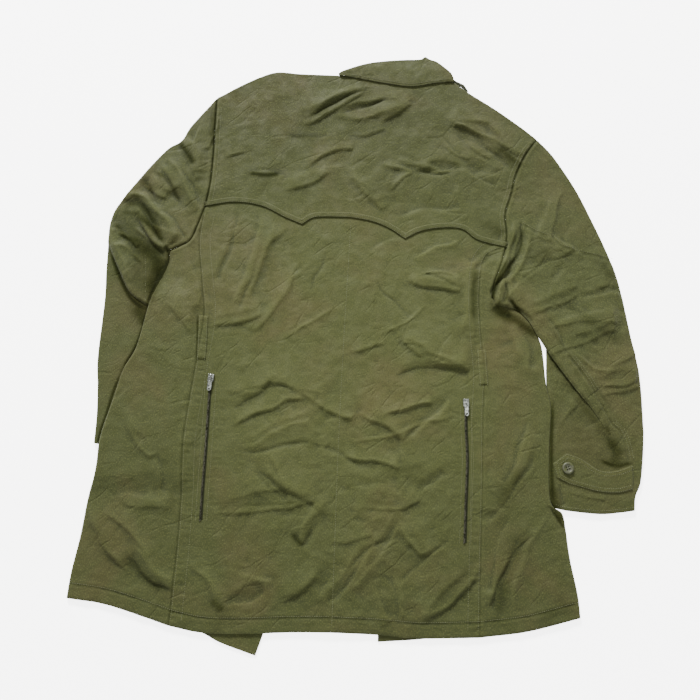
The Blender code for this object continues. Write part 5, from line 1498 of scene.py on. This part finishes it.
class PARKA_OT_stitching(bpy.types.Operator):
    """Sews the topstitching along the seams, the hem, the band, the tab and the collar"""
    bl_idname = "parka.stitching"
    bl_label = "Stitching"

    def execute(self, context):
        sizes = context.scene.parka_sizes
        amounts = {"Pitch": sizes.pitch, "Length": sizes.stitch, "Thickness": sizes.thread}
        tree = stitch_tree()
        for name, paths in stitch_paths().items():
            along_paths("stitches_" + name, tree, paths, amounts, "olive_thread")
        return {"FINISHED"}


def sewn(line, steps, first=None, last=None, height=back_height, lift=STITCH_LIFT):
    """Rows of stitches beside a line, from its point number first to last."""
    return [laid(shifted(line, step)[first:last], height, lift) for step in steps]


def stitch_paths():
    """The rows of stitches for each group of pieces that carries them."""
    trim_lift = TRIM_SEAT + TRIM + STITCH_SINK
    band = sewn(YOKE_LINE, (0.2, 5.6), lift=trim_lift)
    for strip in (STRIP_LEFT, STRIP_RIGHT):
        band += sewn(spline(strip, 30), (-5.4, 5.4), lift=trim_lift)
    body = sewn(PRINCESS_LEFT_LINE, (-2.4, -17.5), 4, -6) + sewn(PRINCESS_RIGHT_LINE, (2.4, 17.0), 4, -6)
    body += sewn(CENTRE_LINE, (-2.0,), 4, -6)
    for line in HEM_LINES:
        body += sewn(line, (1.5,), 1, -1)
    for line in (ZIP_LEFT_LINE, ZIP_RIGHT_LINE):
        body += sewn(line, (-8.2, 8.2))
    yoke = sewn(spline(ARMHOLE_LEFT_UPPER, 80), (-3.6, -8.4), 2, -8)
    yoke += sewn(spline(ARMHOLE_RIGHT_UPPER, 80), (3.6, 8.4), 2, -8)
    sleeves = []
    lower = spread_line(SLEEVE_SEAM_LOWER)
    for step in (3.4, 8.0):
        sleeves += sewn(lower, (step,), 2, 26, upper_right_height)
        sleeves += sewn(lower, (step,), 44, -1, forearm_right_height)
    sleeves += sewn(spread_line(SLEEVE_SEAM_UPPER), (3.4,), 2, -3, upper_right_height)
    sleeves += sewn(spread_line(CUFF_RIGHT), (5.0,), 1, -1, forearm_right_height)
    sleeves += sewn(spread_line(SLEEVE_SEAM_LEFT), (0.0,), height=upper_left_height, lift=-0.15)
    tab = []
    for inset in (1.8, 6.6):
        base = shifted(TAB_LOWER_LINE, inset)
        top = shifted(TAB_UPPER_LINE, -inset)
        tip = shifted(TAB_TIP_LINE, -inset)
        ring = joined(base[::-1][1:-2], tip[3:-1], top[3:-1])
        tab.append(laid(ring, forearm_right_height, TRIM_SEAT + WALL + STITCH_SINK))
    collar = sewn(spline(COLLAR_FALL, 80), (4.0,), 2, -2, collar_height)
    return {"band": band, "body": body, "yoke": yoke, "sleeves": sleeves, "tab": tab, "collar": collar}


class PARKA_OT_stage(bpy.types.Operator):
    """Sets up the pale floor, the soft studio light and the camera at the photograph's angle"""
    bl_idname = "parka.stage"
    bl_label = "Floor, light and camera"

    def execute(self, context):
        scene = context.scene
        mesh = bpy.data.meshes.new("floor")
        corners = [(x * FLOOR_HALF, y * FLOOR_HALF, FLOOR_LEVEL) for x, y in ((-1, -1), (1, -1), (1, 1), (-1, 1))]
        mesh.from_pydata(corners, [], [(0, 1, 2, 3)])
        mesh.materials.append(floor_material("floor_paper", scene.parka_look.floor))
        linked("floor", mesh)
        for name, place, size, power in LIGHTS:
            data = bpy.data.lights.new(name, "AREA")
            data.shape = "SQUARE"
            data.size = size
            data.energy = power
            lamp = linked(name, data)
            lamp.location = place
            lamp.rotation_euler = (Vector((0.0, 0.0, 0.0)) - Vector(place)).to_track_quat("-Z", "Y").to_euler()
        world = bpy.data.worlds.new("studio")
        scene.world = world
        world.use_nodes = True
        fill(world.node_tree.nodes["Background"], {"Color": (1.0, 1.0, 1.0, 1.0), "Strength": WORLD_STRENGTH})
        data = bpy.data.cameras.new("photo_camera")
        data.lens = 36.0
        data.sensor_width = 36.0
        data.dof.use_dof = False
        camera = linked("photo_camera", data)
        camera.location = CAMERA_PLACE
        camera.rotation_euler = (math.radians(CAMERA_TILT), 0.0, 0.0)
        scene.camera = camera
        return {"FINISHED"}


class PARKA_PT_panel(bpy.types.Panel):
    """Lists the parka's colours, sizes and steps"""
    bl_idname = "PARKA_PT_panel"
    bl_label = "Field parka"
    bl_space_type = "VIEW_3D"
    bl_region_type = "UI"
    bl_category = "Parka"

    def draw(self, context):
        for group in (context.scene.parka_look, context.scene.parka_sizes):
            for key in group.__class__.__annotations__:
                self.layout.prop(group, key)
        for operator in OPERATORS:
            self.layout.operator(operator.bl_idname)


OPERATORS = (PARKA_OT_body, PARKA_OT_fronts, PARKA_OT_sleeves, PARKA_OT_collar, PARKA_OT_trims, PARKA_OT_zips,
             PARKA_OT_stitching, PARKA_OT_stage)
CLASSES = (ParkaLook, ParkaSizes, PARKA_PT_panel) + OPERATORS


def register():
    for item in CLASSES:
        bpy.utils.register_class(item)
    bpy.types.Scene.parka_look = PointerProperty(type=ParkaLook)
    bpy.types.Scene.parka_sizes = PointerProperty(type=ParkaSizes)


def unregister():
    del bpy.types.Scene.parka_sizes
    del bpy.types.Scene.parka_look
    for item in reversed(CLASSES):
        bpy.utils.unregister_class(item)


def main():
    register()
    bpy.ops.parka.body()
    bpy.ops.parka.fronts()
    bpy.ops.parka.sleeves()
    bpy.ops.parka.collar()
    bpy.ops.parka.trims()
    bpy.ops.parka.zips()
    bpy.ops.parka.stitching()
    bpy.ops.parka.stage()


if __name__ == "__main__":
    main()
